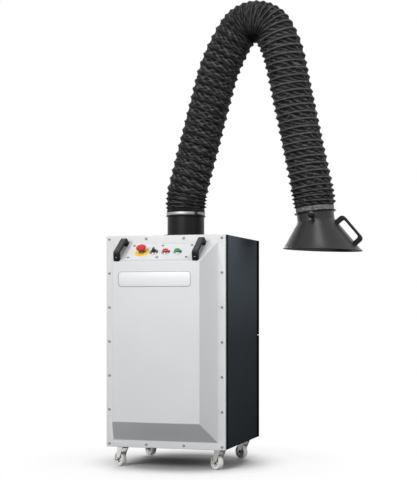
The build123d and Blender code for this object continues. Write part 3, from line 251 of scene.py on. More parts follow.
class Nodes:
    """The nodes of a material or a world under construction."""

    def __init__(self, owner):
        owner.use_nodes = True
        self.tree = owner.node_tree
        self.tree.nodes.clear()

    def node(self, kind, values=None, **settings):
        """Add a node with its settings, and the values or links of its sockets."""
        node = self.tree.nodes.new(kind)
        for key, setting in settings.items():
            setattr(node, key, setting)
        for key, value in (values or {}).items():
            if isinstance(value, Value):
                value = value.socket
            if isinstance(value, bpy.types.NodeSocket):
                self.tree.links.new(value, node.inputs[key])
            else:
                node.inputs[key].default_value = value
        return node

    def seen(self):
        """1 for what the camera sees, also in a reflection or through glass."""
        path = self.node("ShaderNodeLightPath").outputs
        direct = Value(self, path["Is Camera Ray"]) + Value(self, path["Is Glossy Ray"])
        return (direct + Value(self, path["Is Transmission Ray"])).clamped()

    def either(self, factor, first, second):
        """A shader between two shaders."""
        return self.node("ShaderNodeMixShader", {0: factor, 1: first.outputs[0], 2: second.outputs[0]})


class Finish(Nodes):
    """A procedural material under construction."""

    def __init__(self, name):
        self.material = bpy.data.materials.new(name)
        super().__init__(self.material)
        self.place = self.node("ShaderNodeTexCoord").outputs["Object"]

    def grain(self, scale, detail=3.0, roughness=0.55, stretch=None, place=None):
        """Noise from 0 to 1 over the surface, finer with a larger scale."""
        place = place or self.place
        if stretch:
            place = self.node("ShaderNodeMapping", {"Vector": place, "Scale": stretch}).outputs[0]
        values = {"Vector": place, "Scale": scale, "Detail": detail, "Roughness": roughness}
        return Value(self, self.node("ShaderNodeTexNoise", values).outputs["Fac"])

    def attribute(self, name):
        """A number that the mesh carries."""
        return Value(self, self.node("ShaderNodeAttribute", attribute_name=name).outputs["Fac"])

    def part(self, vector, axis):
        """One of the three numbers of a vector."""
        return Value(self, self.node("ShaderNodeSeparateXYZ", {"Vector": vector}).outputs[axis])

    def facing(self, axis):
        """How far the surface faces along one of the piece's own axes, from -1 to 1."""
        return self.part(self.node("ShaderNodeTexCoord").outputs["Normal"], axis)

    def steps(self, value, *stops):
        """A ramp from numbers to numbers."""
        node = self.node("ShaderNodeValToRGB", {"Fac": value})
        elements = node.color_ramp.elements
        elements.remove(elements[-1])
        for index, (position, level) in enumerate(stops):
            element = elements.new(position) if index else elements[0]
            element.position = position
            element.color = (level, level, level, 1)
        return Value(self, node.outputs["Color"])

    def mixed(self, factor, first, second):
        """A colour between two colours."""
        return self.node("ShaderNodeMix", {0: factor, 6: first, 7: second}, data_type="RGBA").outputs[2]

    def bump(self, height, distance):
        """Normals of a surface that a height raises."""
        values = {"Height": height, "Distance": distance, "Strength": 1.0}
        return self.node("ShaderNodeBump", values).outputs["Normal"]

    def surface(self, **values):
        """The shader, whose sockets are named with an underscore for each space."""
        named = {key.replace("_", " "): value for key, value in values.items()}
        shader = self.node("ShaderNodeBsdfPrincipled", named)
        self.node("ShaderNodeOutputMaterial", {"Surface": shader.outputs["BSDF"]})


def shade(colour, factor):
    """A colour made darker or lighter by a factor, with its alpha."""
    return tuple(min(1.0, c * factor) for c in colour[:3]) + (1.0,)


def powder_coat(name, colour, gloss, peel, shine=0.5, edges=()):
    """Baked powder coat with orange peel, faint clouds and a little dust. With edges it is a side panel's,
    with painted light and painted shadow.
    """
    finish = Finish(name)
    clouds = finish.grain(6.0, 4.0)
    dust = finish.steps(finish.grain(60.0, 6.0, 0.7), (0.55, 0.0), (0.85, 1.0))
    if edges:
        base = panel_light_and_shadow(finish, colour, clouds, edges)
    else:
        base = finish.mixed(clouds, shade(colour, 0.965), shade(colour, 1.035))
        base = finish.mixed(dust * 0.08, base, shade(colour, 1.5))
    rough = clouds * 0.06 + dust * 0.08 + (gloss - 0.03)
    normal = finish.bump(finish.grain(620.0, 2.0, 0.5), peel)
    finish.surface(Base_Color=base, Roughness=rough, Normal=normal, Specular_IOR_Level=shine)


def panel_light_and_shadow(finish, colour, clouds, edges):
    """Colour of a side panel: painted light that makes its sideways faces lighter towards its top, one flat
    lighter colour on its other faces, and painted shadow where its front and rear edges turn in.
    """
    sideways = finish.steps(finish.facing("X").maths("ABSOLUTE"), (0.5, 0.0), (0.9, 1.0))
    # Painted light: the sideways faces grow lighter towards the top, and the other faces get one flat lighter
    # colour
    low = finish.steps(finish.part(finish.place, "Z"), (0.10, 1.0), (0.52, 0.84), (0.95, 0.0))
    painted_light_falloff = finish.mixed(low, shade(colour, 3.9), shade(colour, 1.1))
    base = finish.mixed(sideways, shade(colour, 1.9), painted_light_falloff)
    base = finish.mixed(clouds * 0.04, base, shade(colour, 4.5))
    # Painted shadow where the front and rear edges turn in
    depth = finish.part(finish.place, "Y") + 0.5
    return finish.mixed(finish.steps(depth, *edges) * sideways, base, shade(colour, 0.20))


def zinc(name, colour, gloss, right_side_shade=0.0, drawn=(1.0, 1.0, 0.08)):
    """Zinc-plated or brushed steel, with spangle and fine scratches, and painted shade on the side that faces
    right.
    """
    finish = Finish(name)
    spangle = finish.grain(90.0, 2.0, 0.4)
    scratch = finish.grain(500.0, 3.0, 0.6, stretch=drawn)
    base = finish.mixed(spangle, shade(colour, 0.86), shade(colour, 1.1))
    if right_side_shade:
        # Painted shade: the faces that face right are darkened
        painted_dark_side = finish.steps(finish.facing("X"), (0.20, 0.0), (0.60, right_side_shade))
        base = finish.mixed(painted_dark_side, base, shade(colour, 0.04))
    rough = scratch * 0.16 + spangle * 0.10 + gloss
    finish.surface(Base_Color=base, Metallic=1.0, Roughness=rough, Normal=finish.bump(scratch, 0.00003))


def moulded(name, colour, gloss, texture, depth, dust_and_top_light=0.0, shine=0.35, dust=0.12):
    """Moulded plastic with an eroded texture, faint scuffs, and dust with painted light on what faces up."""
    finish = Finish(name)
    erode = finish.grain(texture, 2.0, 0.5)
    scuff = finish.steps(finish.grain(140.0, 6.0, 0.72), (0.56, 0.0), (0.80, 1.0))
    base = finish.mixed(scuff * 0.22, colour, shade(colour, 2.2))
    if dust_and_top_light:
        # Dust in patches together with painted light: what faces up is made lighter, as if lit from above
        patches = finish.steps(finish.grain(110.0, 5.0, 0.7), (0.35, 0.35), (0.65, 1.0))
        lit_from_above = finish.facing("Z").clamped() ** 2.0
        base = finish.mixed(lit_from_above * patches * dust_and_top_light, base, (dust, dust, dust, 1))
    rough = scuff * 0.14 + erode * 0.06 + gloss
    normal = finish.bump(erode, depth)
    finish.surface(Base_Color=base, Roughness=rough, Normal=normal, Specular_IOR_Level=shine)


def polished(name, colour):
    """Chrome with faint finger marks, and a painted dark reflection on the side that faces right."""
    finish = Finish(name)
    # Painted reflection: the faces that face right are darker
    painted_dark_side = finish.steps(finish.facing("X"), (0.15, 0.0), (0.55, 1.0))
    base = finish.mixed(painted_dark_side, shade(colour, 0.66), shade(colour, 0.06))
    finish.surface(Base_Color=base, Metallic=1.0, Roughness=finish.grain(160.0, 4.0, 0.6) * 0.10 + 0.05)


def coated_cloth(name, colour, wear_and_highlight_colour, cuff_colour):
    """Coated hose fabric: lighter over the wire and on the folds with wear and painted highlight, with
    painted shade in between and painted shadow under each crest.
    """
    finish = Finish(name)
    crest = finish.steps(finish.attribute("crest"), (0.40, 0.0), (0.85, 1.0))
    fold = finish.steps(finish.attribute("fold"), (0.22, 0.0), (1.00, 1.0))
    cloth = finish.node("ShaderNodeAttribute", attribute_name="cloth").outputs["Vector"]
    patches = finish.grain(26.0, 5.0, 0.6, (1.0, 1.0, 1.6), cloth)
    streaks = finish.grain(34.0, 4.0, 0.62, (1.0, 1.0, 4.5), cloth)
    # Painted highlight on the streaks that the bump raises, and painted shade in its hollows
    painted_streak_highlight = finish.steps(streaks, (0.52, 0.0), (0.72, 1.0))
    painted_crease_shade = finish.steps(streaks, (0.30, 1.0), (0.48, 0.0))
    weave = finish.grain(1400.0, 1.0, 0.4, place=cloth)
    wear_and_highlight = crest * (patches * 0.8 + 0.45) + fold * (patches * 1.1 + 0.35) + painted_streak_highlight * 0.22
    base = finish.mixed(patches, shade(colour, 0.45), shade(colour, 1.20))
    base = finish.mixed(painted_crease_shade * 0.6, base, shade(colour, 0.30))
    # Wear and painted highlight over the wire and on the folds
    base = finish.mixed(wear_and_highlight.clamped(), base, wear_and_highlight_colour)
    # Painted shadow under each crest
    base = finish.mixed(finish.attribute("under") * (1.15 - patches * 0.6), base, shade(colour, 0.20))
    lint = finish.steps(finish.grain(75.0, 5.0, 0.7, (1.0, 1.0, 2.0), cloth), (0.36, 0.15), (0.66, 1.0))
    base = finish.mixed(finish.attribute("cuff") * lint, base, cuff_colour)
    rough = patches * 0.14 + 0.50
    normal = finish.bump(streaks + weave * 0.06, 0.0030)
    finish.surface(Base_Color=base, Roughness=rough, Normal=normal, Specular_IOR_Level=0.05)


def filter_paper(name, colour):
    """Pleated medium with fibres and a little grey dust."""
    finish = Finish(name)
    fibre = finish.grain(900.0, 4.0, 0.7, (1.0, 0.2, 1.0))
    base = finish.mixed(finish.grain(22.0, 5.0, 0.6), colour, shade(colour, 0.72))
    finish.surface(Base_Color=base, Roughness=0.9, Normal=finish.bump(fibre, 0.0002))


def record_colour(slot, factor):
    """The colour that the record gives a slot, made darker or lighter by a factor."""
    entry = next(entry for entry in frame["record"]["materials"] if entry["slot"] == slot)
    return shade(entry["base_color"], factor)


# Painted shadow at the side panels' front and rear edges along their depth, then each slot's finish: its
# kind, the factor on the record's colour, and the values of that kind
PANEL_EDGE_SHADOWS = ((0.256, 1.0), (0.272, 0.0), (0.730, 0.0), (0.738, 1.0))
FINISHES = {
    "cover_grey": (powder_coat, 1.0, 0.44, 0.00006),
    "panel_anthracite": (powder_coat, 1.0, 0.42, 0.00006, 0.0, PANEL_EDGE_SHADOWS),
    "frame_black": (powder_coat, 0.35, 0.45, 0.00006, 0.01),
    "plate_grey": (powder_coat, 1.14, 0.40, 0.00004),
    "motor_grey": (powder_coat, 1.0, 0.45, 0.0001),
    "arm_black": (powder_coat, 1.0, 0.45, 0.00008),
    "collar_black": (powder_coat, 0.45, 0.36, 0.00004, 0.15),
    "hood_dark": (powder_coat, 0.36, 0.33, 0.00004, 0.40),
    "galvanised": (zinc, 1.0, 0.30),
    "screw_steel": (zinc, 0.46, 0.30),
    "fork_zinc": (zinc, 1.40, 0.30, 0.97),
    "pivot_steel": (zinc, 1.0, 0.30),
    "clamp_steel": (zinc, 0.62, 0.38, 0.0, (1.0, 1.0, 6.0)),
    "bezel_chrome": (polished, 1.0),
    "handle_black": (moulded, 0.35, 0.48, 900.0, 0.00025, 0.85, 0.10, 0.16),
    "control_black": (moulded, 1.0, 0.28, 500.0, 0.00003),
    "signal_red": (moulded, 1.0, 0.26, 400.0, 0.00002),
    "signal_green": (moulded, 1.0, 0.26, 400.0, 0.00002),
    "signal_yellow": (moulded, 1.0, 0.34, 400.0, 0.00002),
    "collar_brown": (moulded, 1.0, 0.35, 500.0, 0.00003),
    "wheel_nylon": (moulded, 1.30, 0.36, 260.0, 0.00006),
    "filter_white": (filter_paper, 1.0),
    "hose_black": (coated_cloth, 1.0, (0.102, 0.102, 0.105, 1), (0.25, 0.25, 0.243, 1)),
}


def finish_of(slot):
    """The procedural material of a slot, made when it is first asked for."""
    name = f"extractor_{slot}"
    if name not in bpy.data.materials:
        kind, factor, *values = FINISHES[slot]
        kind(name, record_colour(slot, factor), *values)
    return bpy.data.materials[name]


def linked(name, data):
    """An object in the scene, with its mesh, lamp or camera."""
    thing = bpy.data.objects.new(name, data)
    bpy.context.scene.collection.objects.link(thing)
    return thing


def new_piece(name, mesh, slot, sharp=32.0):
    """An object with its finish, shaded smooth apart from its sharp edges."""
    mesh.materials.append(finish_of(slot))
    mesh.shade_smooth()
    mesh.set_sharp_from_angle(angle=math.radians(sharp))
    piece = linked(name, mesh)
    return piece


def joined(name, meshes, slot, body, *replaced, sharp=32.0):
    """One piece from several meshes, on a body, in place of the solids that it stands for."""
    work = bmesh.new()
    for mesh in meshes:
        work.from_mesh(mesh)
        bpy.data.meshes.remove(mesh)
    whole = bpy.data.meshes.new(name)
    work.to_mesh(whole)
    work.free()
    piece = new_piece(name, whole, slot, sharp)
    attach(piece, body)
    if replaced:
        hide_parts(*replaced)
    return piece


def skin(rows, columns, rows_closed=False, columns_closed=True):
    """Faces between the rows of a grid of corners, whose rows and columns may close on themselves."""
    faces = []
    for row in range(rows if rows_closed else rows - 1):
        here, after = row * columns, (row + 1) % rows * columns
        for i in range(columns if columns_closed else columns - 1):
            j = (i + 1) % columns
            faces.append((here + i, here + j, after + j, after + i))
    return faces


def closed_mesh(corners, faces, bevel=0.0, segments=3, angle=25.0, place=None):
    """A mesh with doubled corners merged and its sharp edges rounded."""
    work = bmesh.new()
    points = [work.verts.new(place @ Vector(c) if place else c) for c in corners]
    for face in faces:
        work.faces.new([points[i] for i in face])
    bmesh.ops.remove_doubles(work, verts=work.verts, dist=0.000002)
    flat = [f for f in work.faces if f.calc_area() < 1e-12]
    bmesh.ops.delete(work, geom=flat, context="FACES_ONLY")
    bmesh.ops.recalc_face_normals(work, faces=work.faces)
    if bevel:
        sharp = [e for e in work.edges if e.is_manifold and e.calc_face_angle(0) > math.radians(angle)]
        bmesh.ops.bevel(work, geom=sharp, offset=bevel, segments=segments, profile=0.5, affect="EDGES",
                        clamp_overlap=True)
    mesh = bpy.data.meshes.new("work")
    work.to_mesh(mesh)
    work.free()
    return mesh


def mm(*points):
    """Points that are given in millimetres."""
    return [tuple(number / 1000 for number in point) for point in points]


def rectangle(left, low, right, high):
    """Corners of a rectangle."""
    return [(left, low), (right, low), (right, high), (left, high)]


def round_the_axis(angle, radius, height=0.0):
    """A point at an angle round the third axis."""
    return Vector((radius * math.cos(angle), radius * math.sin(angle), height))


def even(start, end, steps):
    """Numbers at even steps from start to end."""
    return [start + (end - start) * k / steps for k in range(steps + 1)]


def whole_turn(steps):
    """Angles at even steps round an axis."""
    return even(0, 2 * math.pi, steps)[:-1]


def arc_profile(centre, radius, start, end, steps):
    """Points of an arc in a profile, from one angle to another in degrees."""
    angles = [math.radians(angle) for angle in even(start, end, steps)]
    return [(centre[0] + radius * math.cos(angle), centre[1] + radius * math.sin(angle)) for angle in angles]


def curve(start, middle, end, steps):
    """Points of a curve from start to end, drawn towards the middle point."""
    return [start * (1 - t) ** 2 + middle * (2 * t * (1 - t)) + end * t ** 2 for t in even(0, 1, steps)]


def lathe(profile, place, steps=64, radius_at=None):
    """A turned mesh: a profile of radius and height, which starts on the frame's third axis or is closed."""
    corners = []
    for angle in whole_turn(steps):
        for index, (radius, height) in enumerate(profile):
            if radius_at:
                radius = radius_at(index, radius, angle)
            corners.append(place @ round_the_axis(angle, radius, height))
    return closed_mesh(corners, skin(steps, len(profile), True, profile[0][0] > 0))


def turned(name, profile, place, slot, body, *replaced, steps=64, radius_at=None):
    """A piece that is one turned mesh."""
    return joined(name, [lathe(profile, place, steps, radius_at)], slot, body, *replaced)


def prism(outline, place, low, high, bevel=0.0, segments=3):
    """A flat outline made thick between two heights, with rounded edges."""
    count = len(outline)
    corners = [(x, y, z) for z in (low, high) for x, y in outline]
    faces = [tuple(range(count))[::-1], tuple(range(count, 2 * count))] + skin(2, count)
    return closed_mesh(corners, faces, bevel, segments, place=place)


def rounded(outline, radius, steps=5):
    """An outline whose corners are rounded by a radius, or by one radius per corner."""
    radii = radius if isinstance(radius, (list, tuple)) else [radius] * len(outline)
    result = []
    for i, here in enumerate(outline):
        here = Vector(here)
        before = Vector(outline[i - 1]) - here
        after = Vector(outline[(i + 1) % len(outline)]) - here
        turn = before.angle(after)
        reach = min(radii[i] / math.tan(turn / 2), before.length * 0.48, after.length * 0.48)
        if reach < 1e-6 or abs(turn - math.pi) < 0.02:
            result.append(tuple(here))
            continue
        start = here + before.normalized() * reach
        end = here + after.normalized() * reach
        result += [tuple(point) for point in curve(start, here, end, steps)]
    return result


def spaced(line, count):
    """Points at even steps along a line of flat points."""
    points = [Vector(point) for point in line]
    runs = [(after - before).length for before, after in zip(points, points[1:])]
    result = []
    index, done = 0, 0.0
    for target in even(0, sum(runs), count):
        while index < len(runs) - 1 and done + runs[index] < target:
            done += runs[index]
            index += 1
        reach = min(1.0, (target - done) / runs[index])
        result.append(points[index].lerp(points[index + 1], reach))
    return result


def bow(outer, inner, place, steps=64):
    """A moulded bow with rounded edges, between an outer and an inner line of flat points."""
    corners = []
    for far, near in zip(spaced(outer, steps), spaced(inner, steps)):
        height = (far - near).length
        toward = (far - near) / height
        section = rounded(rectangle(0, -handle_half, height, handle_half), min(handle_edge, height * 0.45))
        corners += [(*(near + toward * out), side) for out, side in section]
    count = len(section)
    faces = skin(steps + 1, count)
    faces += [tuple(range(count)), tuple(range(steps * count, (steps + 1) * count))]
    return closed_mesh(corners, faces, place=place)


class ExtractorColours(bpy.types.PropertyGroup):
    """Colours of the studio."""
    floor: FloatVectorProperty(name="Floor", description="Colour of the floor", subtype="COLOR", size=3,
                               min=0, max=1, default=(0.90, 0.90, 0.90))


class ExtractorHose(bpy.types.PropertyGroup):
    """Sizes of the hose."""
    crest: FloatProperty(name="Crest", description="Radius over the wire", default=0.0865, unit="LENGTH")
    valley: FloatProperty(name="Valley", description="Radius between wires", default=0.0795, unit="LENGTH")
    bore: FloatProperty(name="Bore", description="Inside radius", default=0.0775, unit="LENGTH")
    crease: FloatProperty(name="Crease", description="Depth of the creases", default=0.0032, unit="LENGTH")
    around: IntProperty(name="Steps around", description="Mesh steps around the hose", default=168, min=24)
    along: IntProperty(name="Steps per rib", description="Mesh steps along each rib", default=14, min=4)


class ExtractorCover(bpy.types.PropertyGroup):
    """Sizes of the front cover."""
    bend: FloatProperty(name="Bend radius", description="Radius of the folds", default=0.0028, unit="LENGTH")
    sheet: FloatProperty(name="Sheet", description="Thickness of the sheet", default=0.0015, unit="LENGTH")


class ExtractorLight(bpy.types.PropertyGroup):
    """Power of the studio lamps."""
    key: FloatProperty(name="Key", description="Soft lamp above", default=20.0, unit="POWER")
    side: FloatProperty(name="Side", description="Lamp on the right", default=15.2, unit="POWER")
    front: FloatProperty(name="Front", description="Lamp in front", default=415.0, unit="POWER")
    back: FloatProperty(name="Back", description="Lamp behind", default=165.0, unit="POWER")
    sky: FloatProperty(name="Sky", description="Strength of the even light", default=0.30, min=0)


def add_lamp(name, power, place, target, width, height):
    """A rectangular soft lamp that points at a place."""
    data = bpy.data.lights.new(f"lamp_{name}", "AREA")
    data.shape = "RECTANGLE"
    data.size = width
    data.size_y = height
    data.energy = power
    lamp = linked(f"lamp_{name}", data)
    lamp.location = place
    lamp.rotation_euler = (Vector(target) - Vector(place)).to_track_quat("-Z", "Y").to_euler()
    if name == "side":
        data.spread = side_spread
        lamp.visible_glossy = False


def add_camera(scene):
    data = bpy.data.cameras.new("camera")
    data.sensor_fit = "VERTICAL"
    data.sensor_height = sensor_height
    data.lens = focal_length / photo_height * sensor_height
    data.shift_y = horizon_shift / photo_height
    data.clip_end = far_end
    camera = linked("camera", data)
    camera.location = camera_place
    camera.rotation_euler = (math.radians(90), 0, math.radians(camera_turn))
    scene.camera = camera


def add_floor(colour):
    """For the camera, paper with a painted shadow right under the object, which fades into plain white away
    from it; grey for what it lights.
    """
    finish = Finish("studio_floor")
    paper = finish.mixed(finish.grain(3.0, 3.0), shade(colour, 0.99), shade(colour, 1.01))
    white = finish.node("ShaderNodeEmission", {"Color": WHITE, "Strength": 1.0})
    length = finish.node("ShaderNodeVectorMath", {0: finish.place}, operation="LENGTH").outputs["Value"]
    reach = Value(finish, length) * 0.4
    away = finish.steps(reach, (0.10, 0.02), (0.14, 0.40), (0.18, 0.80), (0.30, 1.0))
    # Painted shadow: the paper is darker right under the object
    below = finish.steps(reach, (0.02, 1.0), (0.15, 0.0))
    paper = finish.mixed(below, paper, shade(colour, 0.34))
    paper = finish.node("ShaderNodeBsdfDiffuse", {"Color": paper})
    grey = finish.node("ShaderNodeBsdfDiffuse", {"Color": shade(colour, 0.28)})
    both = finish.either(finish.seen(), grey, finish.either(away, paper, white))
    finish.node("ShaderNodeOutputMaterial", {"Surface": both.outputs[0]})
    mesh = bpy.data.meshes.new("studio_floor")
    corners = [(x, y, 0) for x, y in rectangle(-floor_half, -floor_half, floor_half, floor_half)]
    mesh.from_pydata(corners, [], [(0, 1, 2, 3)])
    mesh.materials.append(finish.material)
    floor = linked("studio_floor", mesh)


def add_sky(scene):
    """White to the camera, an even light to the rest."""
    scene.world = bpy.data.worlds.new("studio_sky")
    sky = Nodes(scene.world)
    even = sky.node("ShaderNodeBackground", {"Color": WHITE, "Strength": scene.extractor_light.sky})
    white = sky.node("ShaderNodeBackground", {"Color": WHITE, "Strength": 1.0})
    both = sky.either(sky.seen(), even, white)
    sky.node("ShaderNodeOutputWorld", {"Surface": both.outputs[0]})


class EXTRACTOR_OT_stage(bpy.types.Operator):
    """Set up the camera, the floor, the backdrop and the lamps"""
    bl_idname = "extractor.stage"
    bl_label = "Stage"

    def execute(self, context):
        scene = context.scene
        scene.view_settings.view_transform = "Standard"
        add_camera(scene)
        add_floor(tuple(scene.extractor_colours.floor))
        add_sky(scene)
        for name, sizes in LAMPS.items():
            add_lamp(name, getattr(scene.extractor_light, name), *sizes)
        return {"FINISHED"}


class EXTRACTOR_OT_finishes(bpy.types.Operator):
    """Give every solid of the frame its finish"""
    bl_idname = "extractor.finishes"
    bl_label = "Finishes of the solids"

    def execute(self, context):
        slots = {entry["node"]: entry["material_slot"] for entry in frame["record"]["subparts"]}
        for name, node in frame["nodes"].items():
            finish = finish_of(slots[name])
            if node.material_slots:
                for place in node.material_slots:
                    place.material = finish
            else:
                node.data.materials.append(finish)
        return {"FINISHED"}


class EXTRACTOR_OT_cover(bpy.types.Operator):
    """Make the front cover with its folded lips and its hipped middle"""
    bl_idname = "extractor.cover"
    bl_label = "Front cover"

    def execute(self, context):
        sizes = context.scene.extractor_cover
        corners = []
        for side, low, high, y in cover_rings:
            corners += [(x, y, z) for x, z in rectangle(-side, low, side, high)]
        faces = [(12, 13, 14, 15)] + skin(4, 4)
        sheet = linked("sheet", closed_mesh(corners, faces, sizes.bend, 5, angle=8.0))
        thick = sheet.modifiers.new("sheet", "SOLIDIFY")
        thick.thickness = sizes.sheet
        thick.offset = -1
        # A block cuts the window that the control plate covers
        across, up = window_half
        block = prism(rectangle(-across, -up, across, up), slope_frame(0, 0), -0.006, 0.0012)
        block = linked("window", block)
        cut = sheet.modifiers.new("window", "BOOLEAN")
        cut.operation = "DIFFERENCE"
        cut.solver = "EXACT"
        cut.object = block
        context.view_layer.update()
        whole = bpy.data.meshes.new_from_object(sheet.evaluated_get(context.evaluated_depsgraph_get()))
        bpy.data.objects.remove(sheet)
        bpy.data.objects.remove(block)
        joined("cover_sheet", [whole], "cover_grey", "cabinet", "front_cover", sharp=24.0)
        return {"FINISHED"}


def plate_outline(inset):
    """Rounded outline of the plate, drawn in by an inset."""
    across, up = (half - inset for half in bare_plate_half)
    return rounded(rectangle(-across, -up, across, up), bare_plate_corner - inset, 8)


class EXTRACTOR_OT_plate(bpy.types.Operator):
    """Make the bare plate on the cover and the thin raised line along its edge"""
    bl_idname = "extractor.plate"
    bl_label = "Bare plate"

    def execute(self, context):
        place = axes_frame(bare_plate_middle, RIGHT, UP, FRONT)
        plate = prism(plate_outline(0), place, 0, 0.0008, 0.0002, 2)
        joined("bare_plate", [plate], "plate_grey", "cabinet")
        outer, inner = plate_outline(0.0012), plate_outline(0.0030)
        low, high = 0.0007, 0.0010
        section = ((outer, low), (outer, high), (inner, high), (inner, low))
        corners = [(x, y, z) for line, z in section for x, y in line]
        border = closed_mesh(corners, skin(4, len(outer), True), place=place)
        joined("bare_plate_border", [border], "collar_brown", "cabinet")
        return {"FINISHED"}


def screw_mesh(place, radius, height, length):
    """A domed head with a cross recess, and its shank."""
    recess = radius * 0.52
    shank = 0.002
    profile = [(0, -length), (shank, -length), (shank, 0), (radius, 0), (radius, height * 0.30),
               (radius * 0.93, height * 0.62), (radius * 0.78, height * 0.86), (radius * 0.60, height),
               (recess, height), (recess * 0.72, height * 0.40), (0, height * 0.30)]

    def cross(index, size, angle):
        if index not in (8, 9):
            return size
        turn = (angle + math.pi / 4) % (math.pi / 2) - math.pi / 4
        arm = size * 0.30
        slim = abs(math.tan(turn)) <= arm / size
        return size / math.cos(turn) if slim else max(arm / abs(math.sin(turn)), size * 0.25)

    return lathe(profile, place, 32, cross)


def cover_places():
    """Frames of the screws round the cover's flange."""
    side, low, high = 0.2415, 0.1035, 0.9445
    places = [(x, z) for x in (-side, side) for z in even(low, high, 6)]
    places += [(x, z) for x in (-0.0805, 0.0805) for z in (low, high)]
    frames = []
    for index, (x, z) in enumerate(places):
        turn = math.radians(37 * index % 90)
        across = Vector((math.cos(turn), 0, math.sin(turn)))
        frames.append(axes_frame(Vector((x, flange_front, z)), across, FRONT.cross(across), FRONT))
    return frames


def plate_places():
    """Frames of the control plate's screws."""
    side, high = plate_screws
    frames = [slope_frame(x, y, plate_thickness) for x in (-side, 0, side) for y in (-high, high)]
    return [place @ Matrix.Rotation(0.7 * i, 4, "Z") for i, place in enumerate(frames)]


class EXTRACTOR_OT_screws(bpy.types.Operator):
    """Make the pan-head screws of the cover, the plate and the handles"""
    bl_idname = "extractor.screws"
    bl_label = "Screws"

    def execute(self, context):
        places = cover_places() + plate_places()
        meshes = [screw_mesh(place, *cover_screw) for place in places]
        joined("pan_head_screws_detail", meshes, "screw_steel", "cabinet", "pan_head_screws")
        feet = [(x, y) for x in (-handle_across, handle_across) for y in (-handle_screw_up, handle_screw_up)]
        meshes = [screw_mesh(slope_frame(x, y, handle_screw_out), *handle_screw) for x, y in feet]
        joined("handle_screws", meshes, "screw_steel", "cabinet")
        return {"FINISHED"}


def mirrored(half):
    """A line over the middle, from the points of one half."""
    return [(-along, out) for along, out in half] + half[::-1]


class EXTRACTOR_OT_handles(bpy.types.Operator):
    """Make the two moulded bridge handles on the top slope"""
    bl_idname = "extractor.handles"
    bl_label = "Bridge handles"

    def execute(self, context):
        outer = mm((69.5, 0), (69.5, 8.5), (60.5, 31.0), (50.5, 36.0))
        inner = mm((47.5, 0), (47.5, 8.0), (40.0, 21.0))
        outer_line = rounded(mirrored(outer), [0, 0.003, 0.012, 0.012, 0.012, 0.012, 0.003, 0])
        inner_line = rounded(mirrored(inner), [0, 0.006, 0.008, 0.008, 0.006, 0])
        for name, x in (("left", -handle_across), ("right", handle_across)):
            place = axes_frame(slope_middle + RIGHT * x, slope_up, slope_out, RIGHT)
            mesh = bow(outer_line, inner_line, place)
            joined(f"{name}_bridge_handle", [mesh], "handle_black", "cabinet", f"{name}_handle", sharp=40.0)
        return {"FINISHED"}


def add_emergency_stop():
    place = control_frame(estop_across)
    profile = mm((0, -4.4), (7, -4.4), (7, 16.6), (15.5, 16.6), (18.5, 17.8), (19.8, 19.5), (20, 20.5),
                 (20, 23.5), (19.6, 25), (18.3, 26.8), (15.5, 28.2), (11.5, 29.1), (7, 29.5), (0, 29.6))

    def knurl(index, size, angle):
        return size + 0.00035 * math.cos(24 * angle) if 4 <= index <= 8 else size

    turned("emergency_stop_head", profile, place, "signal_red", "estop", "estop_button", steps=96,
           radius_at=knurl)
    disc = mm((11.4, 0), (29.4, 0), (30, 0.5), (30, 1.2), (29.4, 1.6), (11.4, 1.6))
    turned("emergency_stop_disc", disc, place, "signal_yellow", "cabinet", "estop_disc", steps=80)
    collar = mm((7.5, -24.4), (11, -24.4), (11, 1.6), (14.5, 1.6), (14.5, 4), (13.6, 4.6), (13.4, 6),
                (12.8, 6.6), (12.6, 10.6), (7.5, 10.6))
    turned("emergency_stop_collar", collar, place, "collar_brown", "cabinet", "estop_body")


def add_bezels():
    profile = mm((7.5, -26), (11, -26), (11, 0), (17.6, 0), (18, 0.4), (18, 1.2), (17.4, 2), (15.6, 2.6),
                 (15, 3.2))
    profile += arc_profile((0.0134, 0.0034), 0.0016, 0, 90, 5)
    profile += mm((12.6, 4.8), (12.4, 4.4), (12.4, 2.5), (7.5, 2.5))
    meshes = [lathe(profile, control_frame(x)) for x in (selector_across, stop_across, start_across)]
    joined("control_bezels", meshes, "bezel_chrome", "cabinet", "switch_bodies")


def add_push(name, across, slot):
    profile = mm((0, -17.2), (7, -17.2), (7, 5.8), (12, 5.8), (12, 9.2))
    profile += arc_profile((0.0106, 0.0094), 0.0014, 0, 80, 5)
    profile += mm((9, 10.5), (6, 10.1), (0, 9.9))
    turned(f"{name}_cap", profile, control_frame(across), slot, name, f"{name}_button")


def add_selector():
    place = control_frame(selector_across)
    disc = mm((0, -20.2), (7, -20.2), (7, 2.8), (12, 2.8), (12, 6.8), (11.4, 7.6), (10.4, 7.8), (0, 7.8))
    outline = mm((-2.8, -11.2), (2.8, -11.2), (4, -6), (3.6, 11.2), (-3.6, 11.2), (-4, -6))
    grip = prism(rounded(outline, 0.002), place, 0.0070, 0.0188, 0.0014, 3)
    joined("selector_grip", [lathe(disc, place), grip], "control_black", "selector", "selector_knob")
    mark = prism(rectangle(-0.0006, 0.001, 0.0006, 0.0098), place, 0.0186, 0.0190)
    joined("selector_mark", [mark], "wheel_nylon", "selector")


class EXTRACTOR_OT_controls(bpy.types.Operator):
    """Make the emergency stop, the selector and the two push buttons"""
    bl_idname = "extractor.controls"
    bl_label = "Controls"

    def execute(self, context):
        add_emergency_stop()
        add_bezels()
        add_selector()
        add_push("stop", stop_across, "signal_red")
        add_push("start", start_across, "signal_green")
        return {"FINISHED"}


